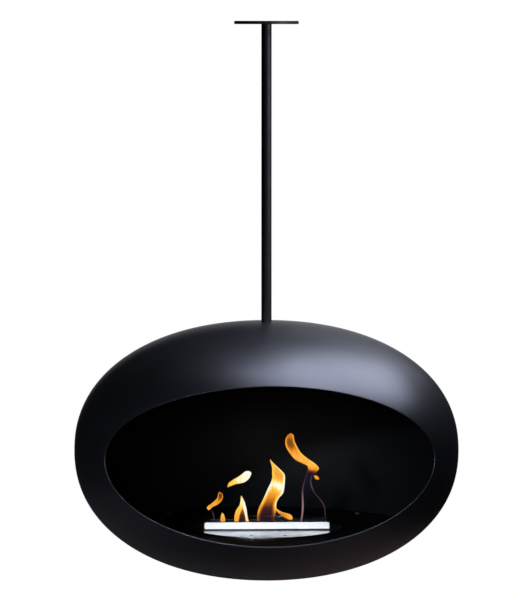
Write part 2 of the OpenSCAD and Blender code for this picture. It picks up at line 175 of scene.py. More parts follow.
@dataclass
class Skin:
    """A closed surface made of rings of points.

    Attributes:
        name: Name of the piece.
        rings: Array of rings, points and coordinates.
        ends: How the rings end.
        paints: Materials, of which a face takes the one that band gives.
        band: Material number of the faces that follow each ring.
        crease: Angle in degrees past which an edge stays sharp.
        values: Named numbers for each point, for the materials to read.
        flats: Whether the piece has flat faces beside small roundings, which then keep their own direction.
    """

    name: str
    rings: np.ndarray
    ends: Ends
    paints: list[bpy.types.Material]
    band: np.ndarray | None = None
    crease: float = 38.0
    values: dict[str, np.ndarray] = field(default_factory=dict)
    flats: bool = False

    def build(self) -> bpy.types.Object:
        """Makes the mesh and turns its faces outwards.

        Ring i and ring i+1 are joined by four-sided faces, and a pointed end has triangles round the ring's mean
        point. Six times the volume is the sum of p0 . (p1 x p2) over all triangles, and a negative one turns the
        faces round.

        Returns:
            The finished object at the origin.
        """
        n_rings, n_round = self.rings.shape[:2]
        points = self.rings.reshape(-1, 3)
        last = n_rings if self.ends is Ends.JOINED else n_rings - 1
        i, j = np.meshgrid(np.arange(last), np.arange(n_round), indexing="ij")
        ahead, beside = (i + 1) % n_rings, (j + 1) % n_round
        here, there = i * n_round, ahead * n_round
        quads = np.stack([here + j, here + beside, there + beside, there + j], -1).reshape(-1, 4)
        round_uv = np.stack([j, j + 1, j + 1, j], -1) / n_round
        along_uv = np.stack([i, i, i + 1, i + 1], -1) / last
        uv = np.stack([round_uv, along_uv], -1).reshape(-1, 4, 2)
        tris, tri_uv = np.zeros((0, 3), int), np.zeros((0, 3, 2))
        if self.ends is Ends.POINTS:
            tips = np.stack([self.rings[0].mean(0), self.rings[-1].mean(0)])
            points = np.concatenate([points, tips])
            k = np.arange(n_round)
            after, top = (k + 1) % n_round, (n_rings - 1) * n_round
            tris = np.concatenate([
                np.stack([after, k, np.full(n_round, len(points) - 2)], -1),
                np.stack([top + k, top + after, np.full(n_round, len(points) - 1)], -1),
            ])
            low = np.stack([(k + 1) / n_round, k / n_round, (k + 0.5) / n_round], -1)
            high = np.stack([k / n_round, (k + 1) / n_round, (k + 0.5) / n_round], -1)
            along = np.repeat([[0.0] * 3, [1.0] * 3], n_round, axis=0)
            tri_uv = np.stack([np.concatenate([low, high]), along], -1)
        split = np.concatenate([quads[:, [0, 1, 2]], quads[:, [0, 2, 3]], tris])
        corner = points[split]
        if np.einsum("ij,ij->", corner[:, 0], np.cross(corner[:, 1], corner[:, 2])) < 0:
            quads, uv, tris, tri_uv = quads[:, ::-1], uv[:, ::-1], tris[:, ::-1], tri_uv[:, ::-1]
        both_uv = np.concatenate([uv.reshape(-1, 2), tri_uv.reshape(-1, 2)])
        return self._object(points, quads, tris, both_uv, i.ravel())

    def _object(self, points: np.ndarray, quads: np.ndarray, tris: np.ndarray, uv: np.ndarray,
                ring_of_face: np.ndarray) -> bpy.types.Object:
        """Puts worked-out arrays into a mesh object.

        Args:
            points: Corner points.
            quads: Four-sided faces.
            tris: Three-sided faces.
            uv: Texture place of each face corner, round the ring and along the stack.
            ring_of_face: Ring that each four-sided face follows.

        Returns:
            The object, linked to the scene.
        """
        mesh = bpy.data.meshes.new(self.name)
        loops = np.concatenate([quads.ravel(), tris.ravel()]).astype(np.int32)
        sizes = np.concatenate([np.full(len(quads), 4), np.full(len(tris), 3)]).astype(np.int32)
        mesh.vertices.add(len(points))
        mesh.vertices.foreach_set("co", points.astype(np.float32).ravel())
        mesh.loops.add(len(loops))
        mesh.loops.foreach_set("vertex_index", loops)
        mesh.polygons.add(len(sizes))
        mesh.polygons.foreach_set("loop_start", (np.cumsum(sizes) - sizes).astype(np.int32))
        for paint in self.paints:
            mesh.materials.append(paint)
        if self.band is not None:
            number = np.concatenate([self.band[ring_of_face], np.full(len(tris), self.band[-1])])
            mesh.polygons.foreach_set("material_index", number.astype(np.int32))
        mesh.update(calc_edges=True)
        mesh.uv_layers.new(name="Round").data.foreach_set("uv", uv.astype(np.float32).ravel())
        for name, value in self.values.items():
            full = np.zeros(len(points), np.float32)
            full[: value.size] = value.ravel()
            mesh.attributes.new(name, "FLOAT", "POINT").data.foreach_set("value", full)
        mesh.polygons.foreach_set("use_smooth", np.ones(len(sizes), bool))
        mesh.set_sharp_from_angle(angle=math.radians(self.crease))
        mesh.validate()
        piece = bpy.data.objects.new(self.name, mesh)
        bpy.context.scene.collection.objects.link(piece)
        if self.flats:
            even = piece.modifiers.new("even_flats", "WEIGHTED_NORMAL")
            even.weight, even.keep_sharp = 100, True
        return piece


def place(piece: bpy.types.Object, body: Body, slot: str | None, *nodes: str) -> bpy.types.Object:
    """Hangs a finished piece on its body and hides the solids that it stands for."""
    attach(piece, body.value)
    if nodes:
        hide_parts(*nodes)
    log.info("%s: %d faces on %s, stands for %s", piece.name, len(piece.data.polygons), body.value,
             nodes or "nothing")
    return piece


# ---- Shader building blocks ----


class Tree:
    """A node tree that is put together call by call."""

    def __init__(self, tree: bpy.types.NodeTree) -> None:
        """Empties the tree."""
        self.tree = tree
        tree.nodes.clear()

    def add(self, kind: str, inputs: dict | None = None, **settings: object) -> bpy.types.Node:
        """Adds a node.

        Args:
            kind: Blender's name of the node's type.
            inputs: For each socket's name or number, a value or the output that feeds it.
            settings: The node's own properties.

        Returns:
            The new node.
        """
        node = self.tree.nodes.new(kind)
        for name, value in settings.items():
            setattr(node, name, value)
        for socket, value in (inputs or {}).items():
            if isinstance(value, bpy.types.NodeSocket):
                self.tree.links.new(value, node.inputs[socket])
            else:
                node.inputs[socket].default_value = value
        return node

    def parts(self, vector: bpy.types.NodeSocket) -> bpy.types.NodeOutputs:
        """Adds a Separate XYZ node and returns its three outputs."""
        return self.add("ShaderNodeSeparateXYZ", {0: vector}).outputs

    def maths(self, operation: str, *values: object, clamp: bool = False) -> bpy.types.NodeSocket:
        """Adds a Math node and returns its result."""
        inputs = dict(enumerate(values))
        return self.add("ShaderNodeMath", inputs, operation=operation, use_clamp=clamp).outputs[0]

    def span(self, value: object, low: object, high: object, to: Span = (0.0, 1.0),
             smooth: bool = True) -> bpy.types.NodeSocket:
        """Adds a Map Range node that takes low..high to another range and returns its result."""
        kind = "SMOOTHSTEP" if smooth else "LINEAR"
        return self.add("ShaderNodeMapRange", {0: value, 1: low, 2: high, 3: to[0], 4: to[1]},
                        interpolation_type=kind).outputs[0]

    def noise(self, vector: object, scale: object, detail: float = 3.0,
              rough: float = 0.55) -> bpy.types.NodeSocket:
        """Adds a Noise Texture and returns its value."""
        return self.add("ShaderNodeTexNoise", {"Vector": vector, "Scale": scale, "Detail": detail,
                                               "Roughness": rough}).outputs[0]

    def blend(self, share: object, first: object, second: object) -> bpy.types.NodeSocket:
        """Adds a colour Mix node, whose sockets 6 and 7 take the colours and 2 gives one, and returns that."""
        first, second = (
            colour if isinstance(colour, bpy.types.NodeSocket) else (*colour, 1.0) for colour in (first, second)
        )
        return self.add("ShaderNodeMix", {0: share, 6: first, 7: second}, data_type="RGBA").outputs[2]


class Effect:
    """A shader node group that several finishes share, built on its first use."""

    made: dict[str, bpy.types.NodeTree] = {}

    def __init__(self, name: str, sockets_in: dict[str, tuple[str, object]],
                 sockets_out: dict[str, str]) -> None:
        """Names the group and its sockets.

        Args:
            name: The group's name.
            sockets_in: For each input, its socket type and its value to start with.
            sockets_out: For each output, its socket type.
        """
        self.name, self.sockets_in, self.sockets_out = name, sockets_in, sockets_out

    def body(self, tree: Tree, given: bpy.types.Node) -> dict[str, bpy.types.NodeSocket]:
        """Builds the inside and returns what feeds each output."""
        raise NotImplementedError

    def group(self) -> bpy.types.NodeTree:
        """Returns the node group, which is built only once."""
        if self.name not in Effect.made:
            made = bpy.data.node_groups.new(self.name, "ShaderNodeTree")
            for name, (kind, value) in self.sockets_in.items():
                socket = made.interface.new_socket(name, in_out="INPUT", socket_type=kind)
                if value is not None:
                    socket.default_value = value
            for name, kind in self.sockets_out.items():
                made.interface.new_socket(name, in_out="OUTPUT", socket_type=kind)
            tree = Tree(made)
            given = tree.add("NodeGroupInput")
            tree.add("NodeGroupOutput", self.body(tree, given))
            Effect.made[self.name] = made
        return Effect.made[self.name]

    def use(self, tree: Tree, **inputs: object) -> bpy.types.Node:
        """Places the group in a material's tree with its own values."""
        return tree.add("ShaderNodeGroup", inputs, node_tree=self.group())


NUMBER, VECTOR = "NodeSocketFloat", "NodeSocketVector"


class FineGrain(Effect):
    """Relief of a sprayed or plated coat: fine noise on a slow swell.

    Attributes:
        swell_width: How many times as wide the swell is.
        swell_share: Its height as a share of the fine noise's.
    """

    swell_width, swell_share = 5.0, 0.6

    def __init__(self) -> None:
        """Names the sockets."""
        super().__init__("fine_grain", {"Vector": (VECTOR, None), "Size": (NUMBER, 0.001)}, {"Height": NUMBER})

    def body(self, tree: Tree, given: bpy.types.Node) -> dict[str, bpy.types.NodeSocket]:
        """Height = fine noise plus a share of a wider noise."""
        scale = tree.maths("DIVIDE", 1.0, given.outputs["Size"])
        fine = tree.noise(given.outputs["Vector"], scale, detail=2.0)
        swell = tree.noise(given.outputs["Vector"], tree.maths("DIVIDE", scale, self.swell_width), detail=1.0)
        return {"Height": tree.maths("MULTIPLY_ADD", swell, self.swell_share, fine)}


class HandMarks(Effect):
    """Faint wiped patches and touch marks that change the gloss.

    Attributes:
        wide_span: Values of the wide noise between which a patch comes up.
        small_scale: How many times as fine the small noise is that breaks the patches up.
        small_share: Its share in them.
    """

    wide_span, small_scale, small_share = (0.35, 0.65), 9.0, 0.5

    def __init__(self) -> None:
        """Names the sockets."""
        super().__init__("hand_marks", {"Vector": (VECTOR, None), "Size": (NUMBER, 0.1), "Low": (NUMBER, 0.3),
                                        "High": (NUMBER, 0.4)}, {"Roughness": NUMBER, "Mask": NUMBER})

    def body(self, tree: Tree, given: bpy.types.Node) -> dict[str, bpy.types.NodeSocket]:
        """Mask = wide noise, stretched to 0..1 and broken up by small noise. Roughness runs from Low to High."""
        scale = tree.maths("DIVIDE", 1.0, given.outputs["Size"])
        wide = tree.span(tree.noise(given.outputs["Vector"], scale, detail=4.0), *self.wide_span)
        small = tree.noise(given.outputs["Vector"], tree.maths("MULTIPLY", scale, self.small_scale))
        off_middle = tree.maths("SUBTRACT", small, 0.5)
        mask = tree.maths("MULTIPLY_ADD", off_middle, self.small_share, wide, clamp=True)
        spread = tree.maths("SUBTRACT", given.outputs["High"], given.outputs["Low"])
        return {"Roughness": tree.maths("MULTIPLY_ADD", mask, spread, given.outputs["Low"]), "Mask": mask}


class ToolLines(Effect):
    """Fine lines of turning, brushing or drawing, across which the height changes fast.

    Attributes:
        along_scale: How often the height changes in a metre along the lines.
    """

    along_scale = 12.0

    def __init__(self) -> None:
        """Names the sockets."""
        super().__init__("tool_lines", {"Across": (NUMBER, 0.0), "Along": (NUMBER, 0.0),
                                        "Pitch": (NUMBER, 0.0004)}, {"Height": NUMBER})

    def body(self, tree: Tree, given: bpy.types.Node) -> dict[str, bpy.types.NodeSocket]:
        """Height = noise of the place across the lines in pitches and of the scaled place along them."""
        across = tree.maths("DIVIDE", given.outputs["Across"], given.outputs["Pitch"])
        along = tree.maths("MULTIPLY", given.outputs["Along"], self.along_scale)
        where = tree.add("ShaderNodeCombineXYZ", {0: across, 1: along}).outputs[0]
        return {"Height": tree.noise(where, 1.0, detail=4.0, rough=0.7)}


class SootVeil(Effect):
    """Smoke stain of a fire below: patchy, and stronger further up.

    Attributes:
        patch_scale: Patches in a metre.
        patch_span: Values of the noise between which a patch comes up.
    """

    patch_scale, patch_span = 14.0, (0.3, 0.75)

    def __init__(self) -> None:
        """Names the sockets."""
        super().__init__("soot_veil", {"Vector": (VECTOR, None), "Low": (NUMBER, -0.8), "High": (NUMBER, -0.5)},
                         {"Mask": NUMBER})

    def body(self, tree: Tree, given: bpy.types.Node) -> dict[str, bpy.types.NodeSocket]:
        """Mask = share of the way from Low to High, times patchy noise."""
        height = tree.parts(given.outputs["Vector"])[2]
        share = tree.span(height, given.outputs["Low"], given.outputs["High"], smooth=False)
        patches = tree.span(tree.noise(given.outputs["Vector"], self.patch_scale, detail=5.0), *self.patch_span)
        return {"Mask": tree.maths("MULTIPLY", share, patches)}


GRAIN, MARKS, LINES, SOOT = FineGrain(), HandMarks(), ToolLines(), SootVeil()


# ---- Finishes ----


class Look:
    """A finish that becomes a material on its first use."""

    name: str
    made: dict[str, bpy.types.Material] = {}

    def shader(self, tree: Tree, where: bpy.types.NodeSocket) -> bpy.types.Node:
        """Builds the nodes in an empty tree.

        Args:
            tree: The material's tree.
            where: The place on the object.

        Returns:
            The shader of the surface.
        """
        raise NotImplementedError

    def material(self) -> bpy.types.Material:
        """Returns the material, which is built only once."""
        if self.name not in Look.made:
            made = Look.made[self.name] = bpy.data.materials.new(self.name)
            made.use_nodes = True
            tree = Tree(made.node_tree)
            shader = self.shader(tree, tree.add("ShaderNodeTexCoord").outputs["Object"])
            tree.add("ShaderNodeOutputMaterial", {"Surface": shader.outputs[0]})
        return Look.made[self.name]


@dataclass(frozen=True)
class Finish(Look):
    """A solid finish: its colours, gloss and relief.

    Attributes:
        name: Name of the material.
        colour: Main colour.
        patch: Colour of the patches that differ a little.
        rough: Lowest and highest roughness.
        metallic: 1 for bare metal and for paint with metal flakes, 0 for a plain coat.
        specular: Strength of a coat's reflection.
        grain: Kind of relief.
        size: Size of the grain or pitch of the lines.
        depth: Depth of the relief.
        marks: Size of the wiped patches.
        soot: How much smoke stain darkens it.
        soot_colour: Colour of the stain.
        soot_rise: Heights between which the stain grows.
    """

    name: str
    colour: Colour
    patch: Colour
    rough: Span
    metallic: float = 0.0
    specular: float = 0.5
    grain: Grain = Grain.COAT
    size: float = 0.0012
    depth: float = 0.00001
    marks: float = 0.12
    soot: float = 0.0
    soot_colour: Colour = (0.004, 0.0038, 0.0035)
    soot_rise: Span = (-0.80, -0.55)

    def shader(self, tree: Tree, where: bpy.types.NodeSocket) -> bpy.types.Node:
        """Marks move the gloss and colour, soot darkens the colour and the grain gives the relief."""
        marks = MARKS.use(tree, Vector=where, Size=self.marks, Low=self.rough[0], High=self.rough[1])
        height, colour = self._relief(tree, where), tree.blend(marks.outputs["Mask"], self.colour, self.patch)
        if self.soot:
            veil = SOOT.use(tree, Vector=where, Low=self.soot_rise[0], High=self.soot_rise[1])
            share = tree.maths("MULTIPLY", veil.outputs["Mask"], self.soot)
            colour = tree.blend(share, colour, self.soot_colour)
        bump = tree.add("ShaderNodeBump", {"Strength": 1.0, "Distance": self.depth, "Height": height})
        return tree.add("ShaderNodeBsdfPrincipled", {
            "Base Color": colour, "Roughness": marks.outputs["Roughness"], "Metallic": self.metallic,
            "Specular IOR Level": self.specular, "Normal": bump.outputs[0],
        })

    def _relief(self, tree: Tree, where: bpy.types.NodeSocket) -> bpy.types.NodeSocket:
        """Returns the relief's height: of the grain, or of lines along X or round the axis."""
        if self.grain is Grain.COAT:
            return GRAIN.use(tree, Vector=where, Size=self.size).outputs["Height"]
        x, y, z = tree.parts(where)
        if self.grain is Grain.DRAWN:
            return LINES.use(tree, Across=y, Along=x, Pitch=self.size).outputs["Height"]
        square = tree.maths("MULTIPLY_ADD", x, x, tree.maths("MULTIPLY", y, y))
        across = tree.maths("ADD", tree.maths("SQRT", square), z)
        return LINES.use(tree, Across=across, Along=x, Pitch=self.size).outputs["Height"]


DOME_PAINT = Finish("charcoal_paint", (0.114, 0.118, 0.153), (0.106, 0.109, 0.142), (0.37, 0.41), metallic=1.0,
                    size=0.0009, depth=0.000012, marks=0.30)
INNER_PAINT = Finish("inner_paint", (0.0020, 0.0024, 0.0038), (0.0014, 0.0017, 0.0027), (0.60, 0.68),
                     specular=0.15, size=0.0014, depth=0.00003, marks=0.16, soot=0.8)
POLE_PAINT = Finish("satin_black_paint", (0.020, 0.021, 0.025), (0.017, 0.018, 0.021), (0.50, 0.54), size=0.0012,
                    depth=0.000004, marks=0.05)
FLOOR_PAINT = Finish("hearth_paint", (0.0035, 0.0035, 0.004), (0.0022, 0.0022, 0.0024), (0.55, 0.7),
                     specular=0.02, size=0.0012, depth=0.00003, marks=0.07)
MIRROR_STEEL = Finish("mirror_steel", (0.230, 0.247, 0.272), (0.198, 0.215, 0.240), (0.17, 0.23), metallic=1.0,
                      size=0.004, depth=0.000004, marks=0.035)
HEAD_STEEL = Finish("satin_steel", (0.80, 0.80, 0.80), (0.77, 0.77, 0.78), (0.42, 0.46), metallic=0.6,
                    grain=Grain.DRAWN, size=0.0003, depth=0.000004, marks=0.03)
# Dark steel: painted shade on the burner head's top and in its shadow gap, and the shutter's colour.
DARK_STEEL_AND_SHADE = Finish("dark_steel_and_painted_shade", (0.050, 0.046, 0.050), (0.030, 0.028, 0.034), (0.26, 0.36),
                        metallic=1.0, grain=Grain.DRAWN, size=0.0004, depth=0.000006, marks=0.02)
BRUSHED_STEEL = Finish("brushed_steel", (0.56, 0.56, 0.58), (0.50, 0.50, 0.52), (0.26, 0.36), metallic=1.0,
                       grain=Grain.DRAWN, size=0.0005, marks=0.04)
TURNED_STEEL = Finish("turned_steel", (0.56, 0.56, 0.58), (0.48, 0.48, 0.50), (0.26, 0.36), metallic=1.0,
                      grain=Grain.TURNED, size=0.0006, marks=0.06)
PLAIN_STEEL = Finish("zinc_steel", (0.46, 0.46, 0.48), (0.38, 0.37, 0.36), (0.30, 0.44), metallic=1.0,
                     grain=Grain.TURNED, size=0.0005, marks=0.012)
SCREW_BLACK = Finish("black_oxide", (0.028, 0.028, 0.030), (0.020, 0.020, 0.020), (0.28, 0.40), size=0.0006,
                     marks=0.006)
BRONZE = Finish("turned_bronze", (0.55, 0.36, 0.17), (0.42, 0.26, 0.12), (0.28, 0.42), metallic=1.0,
                grain=Grain.TURNED, size=0.0004, marks=0.01)


@dataclass(frozen=True)
class FibreFinish(Look):
    """Soft white mineral fibre, scorched a little where the fuel burns.

    Attributes:
        name: Name of the material.
        colour: Colour of clean fibre.
        scorch: Colour of scorched fibre.
        rough: Lowest and highest roughness.
        marks: Size of the scorched patches.
        strands: Strands in a metre.
        depth: Depth of the relief.
        scorched: Share of the scorch's colour in a patch.
        sheen: Strength and roughness of the soft edge light.
        lays: Stretch of the strands in X and Y and turn in radians, for each of their two directions.
    """

    name: str = "mineral_fibre"
    colour: Colour = (0.84, 0.83, 0.79)
    scorch: Colour = (0.42, 0.36, 0.29)
    rough: Span = (0.85, 1.0)
    marks: float = 0.02
    strands: float = 900.0
    depth: float = 0.0006
    scorched: float = 0.5
    sheen: Span = (0.25, 0.6)
    lays: tuple[Place, ...] = ((1, 0.09, 0.7), (0.1, 1, 0.2))

    def shader(self, tree: Tree, where: bpy.types.NodeSocket) -> bpy.types.Node:
        """Colour = fibre, scorched in patches. Height = two noises stretched in crossing directions."""
        marks = MARKS.use(tree, Vector=where, Size=self.marks, Low=self.rough[0], High=self.rough[1])
        one, two = (
            tree.noise(tree.add("ShaderNodeMapping", {"Vector": where, "Scale": (x, y, 1),
                                                      "Rotation": (0, 0, turn)}).outputs[0], self.strands)
            for x, y, turn in self.lays
        )
        height = tree.maths("ADD", one, two)
        bump = tree.add("ShaderNodeBump", {"Strength": 1.0, "Distance": self.depth, "Height": height})
        share = tree.maths("MULTIPLY", marks.outputs["Mask"], self.scorched)
        colour = tree.blend(share, self.colour, self.scorch)
        return tree.add("ShaderNodeBsdfPrincipled", {
            "Base Color": colour, "Roughness": marks.outputs["Roughness"], "Specular IOR Level": 0.1,
            "Sheen Weight": self.sheen[0], "Sheen Roughness": self.sheen[1], "Normal": bump.outputs[0],
        })


@dataclass(frozen=True)
class FlameFinish(Look):
    """Glowing gas whose colour and cover follow its glow.

    Attributes:
        name: Name of the material.
        stops: Glow and colour at each stop of the ramp.
        clear: Glow at which it starts to hide what is behind it.
        solid: Glow from which it hides it.
        cover: How much it hides there.
        noise_span: Values of the noise between which the flicker goes from its lowest to its highest.
        flicker: Lowest and highest factor by which noise unsettles the glow.
        streaks: Streaks of that noise in a metre.
        stretch: How much the streaks are shortened along Z, so that they stand long.
    """

    name: str
    stops: tuple[tuple[float, Colour], ...]
    clear: float
    solid: float
    cover: float = 0.96
    noise_span: Span = (0.3, 0.7)
    flicker: Span = (0.92, 1.06)
    streaks: float = 260.0
    stretch: float = 0.15

    def shader(self, tree: Tree, where: bpy.types.NodeSocket) -> bpy.types.Node:
        """Glow, unsettled a little by noise, runs through a colour ramp and sets the cover."""
        glow = tree.add("ShaderNodeAttribute", attribute_name="Glow").outputs["Fac"]
        scale = (1.0, 1.0, self.stretch)
        stretched = tree.add("ShaderNodeMapping", {"Vector": where, "Scale": scale}).outputs[0]
        flicker = tree.span(tree.noise(stretched, self.streaks), *self.noise_span, self.flicker)
        unsettled = tree.maths("MULTIPLY", glow, flicker, clamp=True)
        ramp = tree.add("ShaderNodeValToRGB", {0: unsettled})
        marks = ramp.color_ramp.elements
        while len(marks) < len(self.stops):
            marks.new(1.0)
        for mark, (place_on_ramp, colour) in zip(marks, self.stops):
            mark.position, mark.color = place_on_ramp, (*colour, 1.0)
        cover = tree.span(unsettled, self.clear, self.solid, (0.0, self.cover))
        return tree.add("ShaderNodeBsdfPrincipled", {
            "Base Color": (0, 0, 0, 1), "Roughness": 1.0, "Specular IOR Level": 0.0,
            "Emission Color": ramp.outputs[0], "Emission Strength": 1.0, "Alpha": cover,
        })


BRIGHT_FLAME = FlameFinish("bright_flame", (
    (0.0, (0.0, 0.0, 0.0)), (0.12, (0.015, 0.008, 0.022)), (0.25, (0.075, 0.022, 0.012)),
    (0.36, (0.28, 0.085, 0.012)), (0.50, (0.80, 0.26, 0.012)), (0.66, (1.0, 0.42, 0.06)),
    (0.78, (1.0, 0.64, 0.08)), (0.90, (1.0, 0.90, 0.42)), (1.0, (1.0, 0.98, 0.88)),
), clear=0.0, solid=0.30)
THIN_FLAME = FlameFinish("thin_flame", (
    (0.0, (0.0, 0.0, 0.0)), (0.10, (0.008, 0.005, 0.014)), (0.25, (0.030, 0.018, 0.038)),
    (0.40, (0.10, 0.06, 0.085)), (0.60, (0.32, 0.19, 0.20)), (0.75, (0.55, 0.33, 0.32)),
), clear=0.0, solid=0.60)


# ---- Dome ----


@dataclass
class Dome:
    """The dome's shell in one smooth piece, and the painted metal inside it.

    Attributes:
        fullness: Exponent of the dome's curve, 2 being an ellipse.
        wall: Thickness of the sheet.
        mouth: Half width and half height of the mouth.
        mouth_rise: Height of the mouth's middle above the dome's.
        crown_hole: Radius of the hole for the pole.
        lip: Depth of the rounding of the mouth's edge.
        round_cells: Cells round the mouth.
        long_cells: Cells from the mouth to the crown.
        edge_cells: Cells round a sheet's edge.
        closer: How much closer together the lines stand that pass the back, as a share.
        search: Reaches between which a line's ends are looked for.
        halvings: Halvings of that interval.
        samples: Points in which a line's length is measured.
    """

    fullness: float = 2.18
    wall: float = 0.002
    mouth: Span = (0.251, 0.121)
    mouth_rise: float = 0.004
    crown_hole: float = 0.0085
    lip: float = 0.0006
    round_cells: int = 288
    long_cells: int = 120
    edge_cells: int = 10
    closer: float = 0.5
    search: Span = (-4.0, 6.0)
    halvings: int = 48
    samples: int = 600

    def __post_init__(self) -> None:
        """Takes the dome's middle and half sizes from the solids."""
        low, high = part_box("lower_shell")[0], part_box("upper_shell")[1]
        self.half = np.array([high.x, high.x, (high.z - low.z) / 2])
        self.middle = np.array([0, 0, (high.z + low.z) / 2])

    def point(self, turn: np.ndarray, reach: np.ndarray) -> np.ndarray:
        """A point of the outer face from its place between the mouth's middle and the crown.

        The plane number w = e^(reach + i turn) becomes w / (w + 1), which a stereographic map puts on a ball,
        with 0 at the front, 1 at the top and infinity at the back. The ball is stretched to the dome's half
        sizes and each point moved along its radius by k = ((r/a)^n + |z/c|^n)^(-1/n), onto the dome's curve.

        Args:
            turn: Angle round the mouth, 0 straight up.
            reach: Logarithm of the distance from the mouth's middle, rising towards the crown.

        Returns:
            Points from the dome's middle.
        """
        w = np.exp(reach + 1j * turn)
        scale = np.abs(w + 1) ** 2 + np.abs(w) ** 2
        cross = w * np.conj(w + 1)
        ball = np.stack([2 * cross.imag / scale, -(np.abs(w + 1) ** 2 - np.abs(w) ** 2) / scale,
                         2 * cross.real / scale], axis=-1)
        at = ball * self.half
        r, z = np.hypot(at[..., 0], at[..., 1]) / self.half[0], np.abs(at[..., 2]) / self.half[2]
        return at * ((r**self.fullness + z**self.fullness) ** (-1 / self.fullness))[..., None]

    def normal(self, at: np.ndarray) -> np.ndarray:
        """Outward direction: the slope of (r/a)^n + |z/c|^n at a point."""
        n, r = self.fullness, np.hypot(at[..., 0], at[..., 1])
        flat = r ** (n - 2) / self.half[0] ** n
        rise = np.sign(at[..., 2]) * np.abs(at[..., 2]) ** (n - 1) / self.half[2] ** n
        out = np.stack([at[..., 0] * flat, at[..., 1] * flat, rise], axis=-1)
        return out / np.linalg.norm(out, axis=-1, keepdims=True)

    def _reach(self, turn: np.ndarray, inside: Callable[[np.ndarray], np.ndarray]) -> np.ndarray:
        """Halves an interval until it holds only the place where a test changes from true to false."""
        low, high = (np.full_like(turn, end) for end in self.search)
        for _ in range(self.halvings):
            mid = (low + high) / 2
            still = inside(self.point(turn, mid))
            low, high = np.where(still, mid, low), np.where(still, high, mid)
        return (low + high) / 2

    def _in_mouth(self, at: np.ndarray) -> np.ndarray:
        """Whether a point lies inside the mouth's ellipse, seen from the front."""
        spread = (at[..., 0] / self.mouth[0]) ** 2 + ((at[..., 2] - self.mouth_rise) / self.mouth[1]) ** 2
        return (spread < 1) & (at[..., 1] < 0)

    def _before_crown(self, at: np.ndarray) -> np.ndarray:
        """Whether a point lies outside the hole in the crown."""
        return (at[..., 2] < 0) | (np.hypot(at[..., 0], at[..., 1]) > self.crown_hole)

    def face(self) -> np.ndarray:
        """Points of the outer face in equal steps of length from the mouth to the crown.

        The steps round the mouth are turn = u + closer sin u, which keeps the back as fine as the front. Along
        each line, the reach is read off at equal shares of the line's length. A single call reads all the lines,
        whose lengths of 0 to 1 are set 2 apart for it.

        Returns:
            An array of steps, points round the mouth and coordinates.
        """
        u = np.arange(self.round_cells) * TURN / self.round_cells
        turn = u + self.closer * np.sin(u)
        start, end = self._reach(turn, self._in_mouth), self._reach(turn, self._before_crown)
        share = np.linspace(0, 1, self.samples)[:, None]
        reach = start + (end - start) * share
        at = self.point(np.broadcast_to(turn, reach.shape), reach)
        step = np.linalg.norm(np.diff(at, axis=0), axis=-1)
        length = np.concatenate([np.zeros((1, len(u))), np.cumsum(step, axis=0)])
        length /= length[-1]
        column = 2.0 * np.arange(len(u))
        wanted = np.linspace(0, 1, self.long_cells + 1)[:, None] + column
        even = np.interp(wanted.T.ravel(), (length + column).T.ravel(), reach.T.ravel())
        even = even.reshape(len(u), -1).T
        return self.point(np.broadcast_to(turn, even.shape), even)

    def _edge(self, at: np.ndarray, inward: np.ndarray) -> np.ndarray:
        """Rings round a sheet's edge, from its outer face to its inner one.

        The section is a rounded square end: depth (1 - |2s - 1|^4)^(1/4) at share s of the wall.

        Args:
            at: Points of the outer face at the edge.
            inward: Points one step from the edge.

        Returns:
            Rings between the two faces.
        """
        along = np.roll(at, -1, axis=0) - np.roll(at, 1, axis=0)
        out = self.normal(at)
        away = np.cross(out, along)
        away /= np.linalg.norm(away, axis=-1, keepdims=True)
        away *= np.sign(np.sum(away * (at - inward), axis=-1, keepdims=True))
        angle = np.linspace(0, math.pi, self.edge_cells + 1)[1:-1]
        share = (1 - np.sign(np.cos(angle)) * np.abs(np.cos(angle)) ** 0.5) / 2
        depth = self.lip * np.sin(angle) ** 0.5
        return at - out * (self.wall * share)[:, None, None] + away * depth[:, None, None]

    def build(self) -> None:
        """Makes the shell and dresses what carries it and what it carries."""
        outer = self.face()
        inner = outer - self.normal(outer) * self.wall
        mouth_edge, crown_edge = self._edge(outer[0], outer[1]), self._edge(outer[-1], outer[-2])
        rings = np.concatenate([outer, crown_edge, inner[::-1], mouth_edge[::-1]]) + self.middle
        band = np.zeros(len(rings), int)
        inside = len(outer) + len(crown_edge)
        band[inside: inside + len(inner) - 1] = 1
        paints = [DOME_PAINT.material(), INNER_PAINT.material()]
        shell = Skin("dome_skin", rings, Ends.JOINED, paints, band).build()
        place(shell, Body.DOME, "dome_paint", "upper_shell", "lower_shell")
        dress({"hub_plate": INNER_PAINT, "hub_bush": BRONZE, "floor_plate": FLOOR_PAINT,
               "floor_brackets": FLOOR_PAINT, "floor_screws": SCREW_BLACK, "floor_nuts": PLAIN_STEEL})


def dress(finishes: dict[str, Finish]) -> None:
    """Gives solids that are shown as they are their finish."""
    for node, finish in finishes.items():
        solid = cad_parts[node]
        solid.data.materials.clear()
        solid.data.materials.append(finish.material())
        log.info("%s: dressed in %s", node, finish.name)


# ---- Pole ----


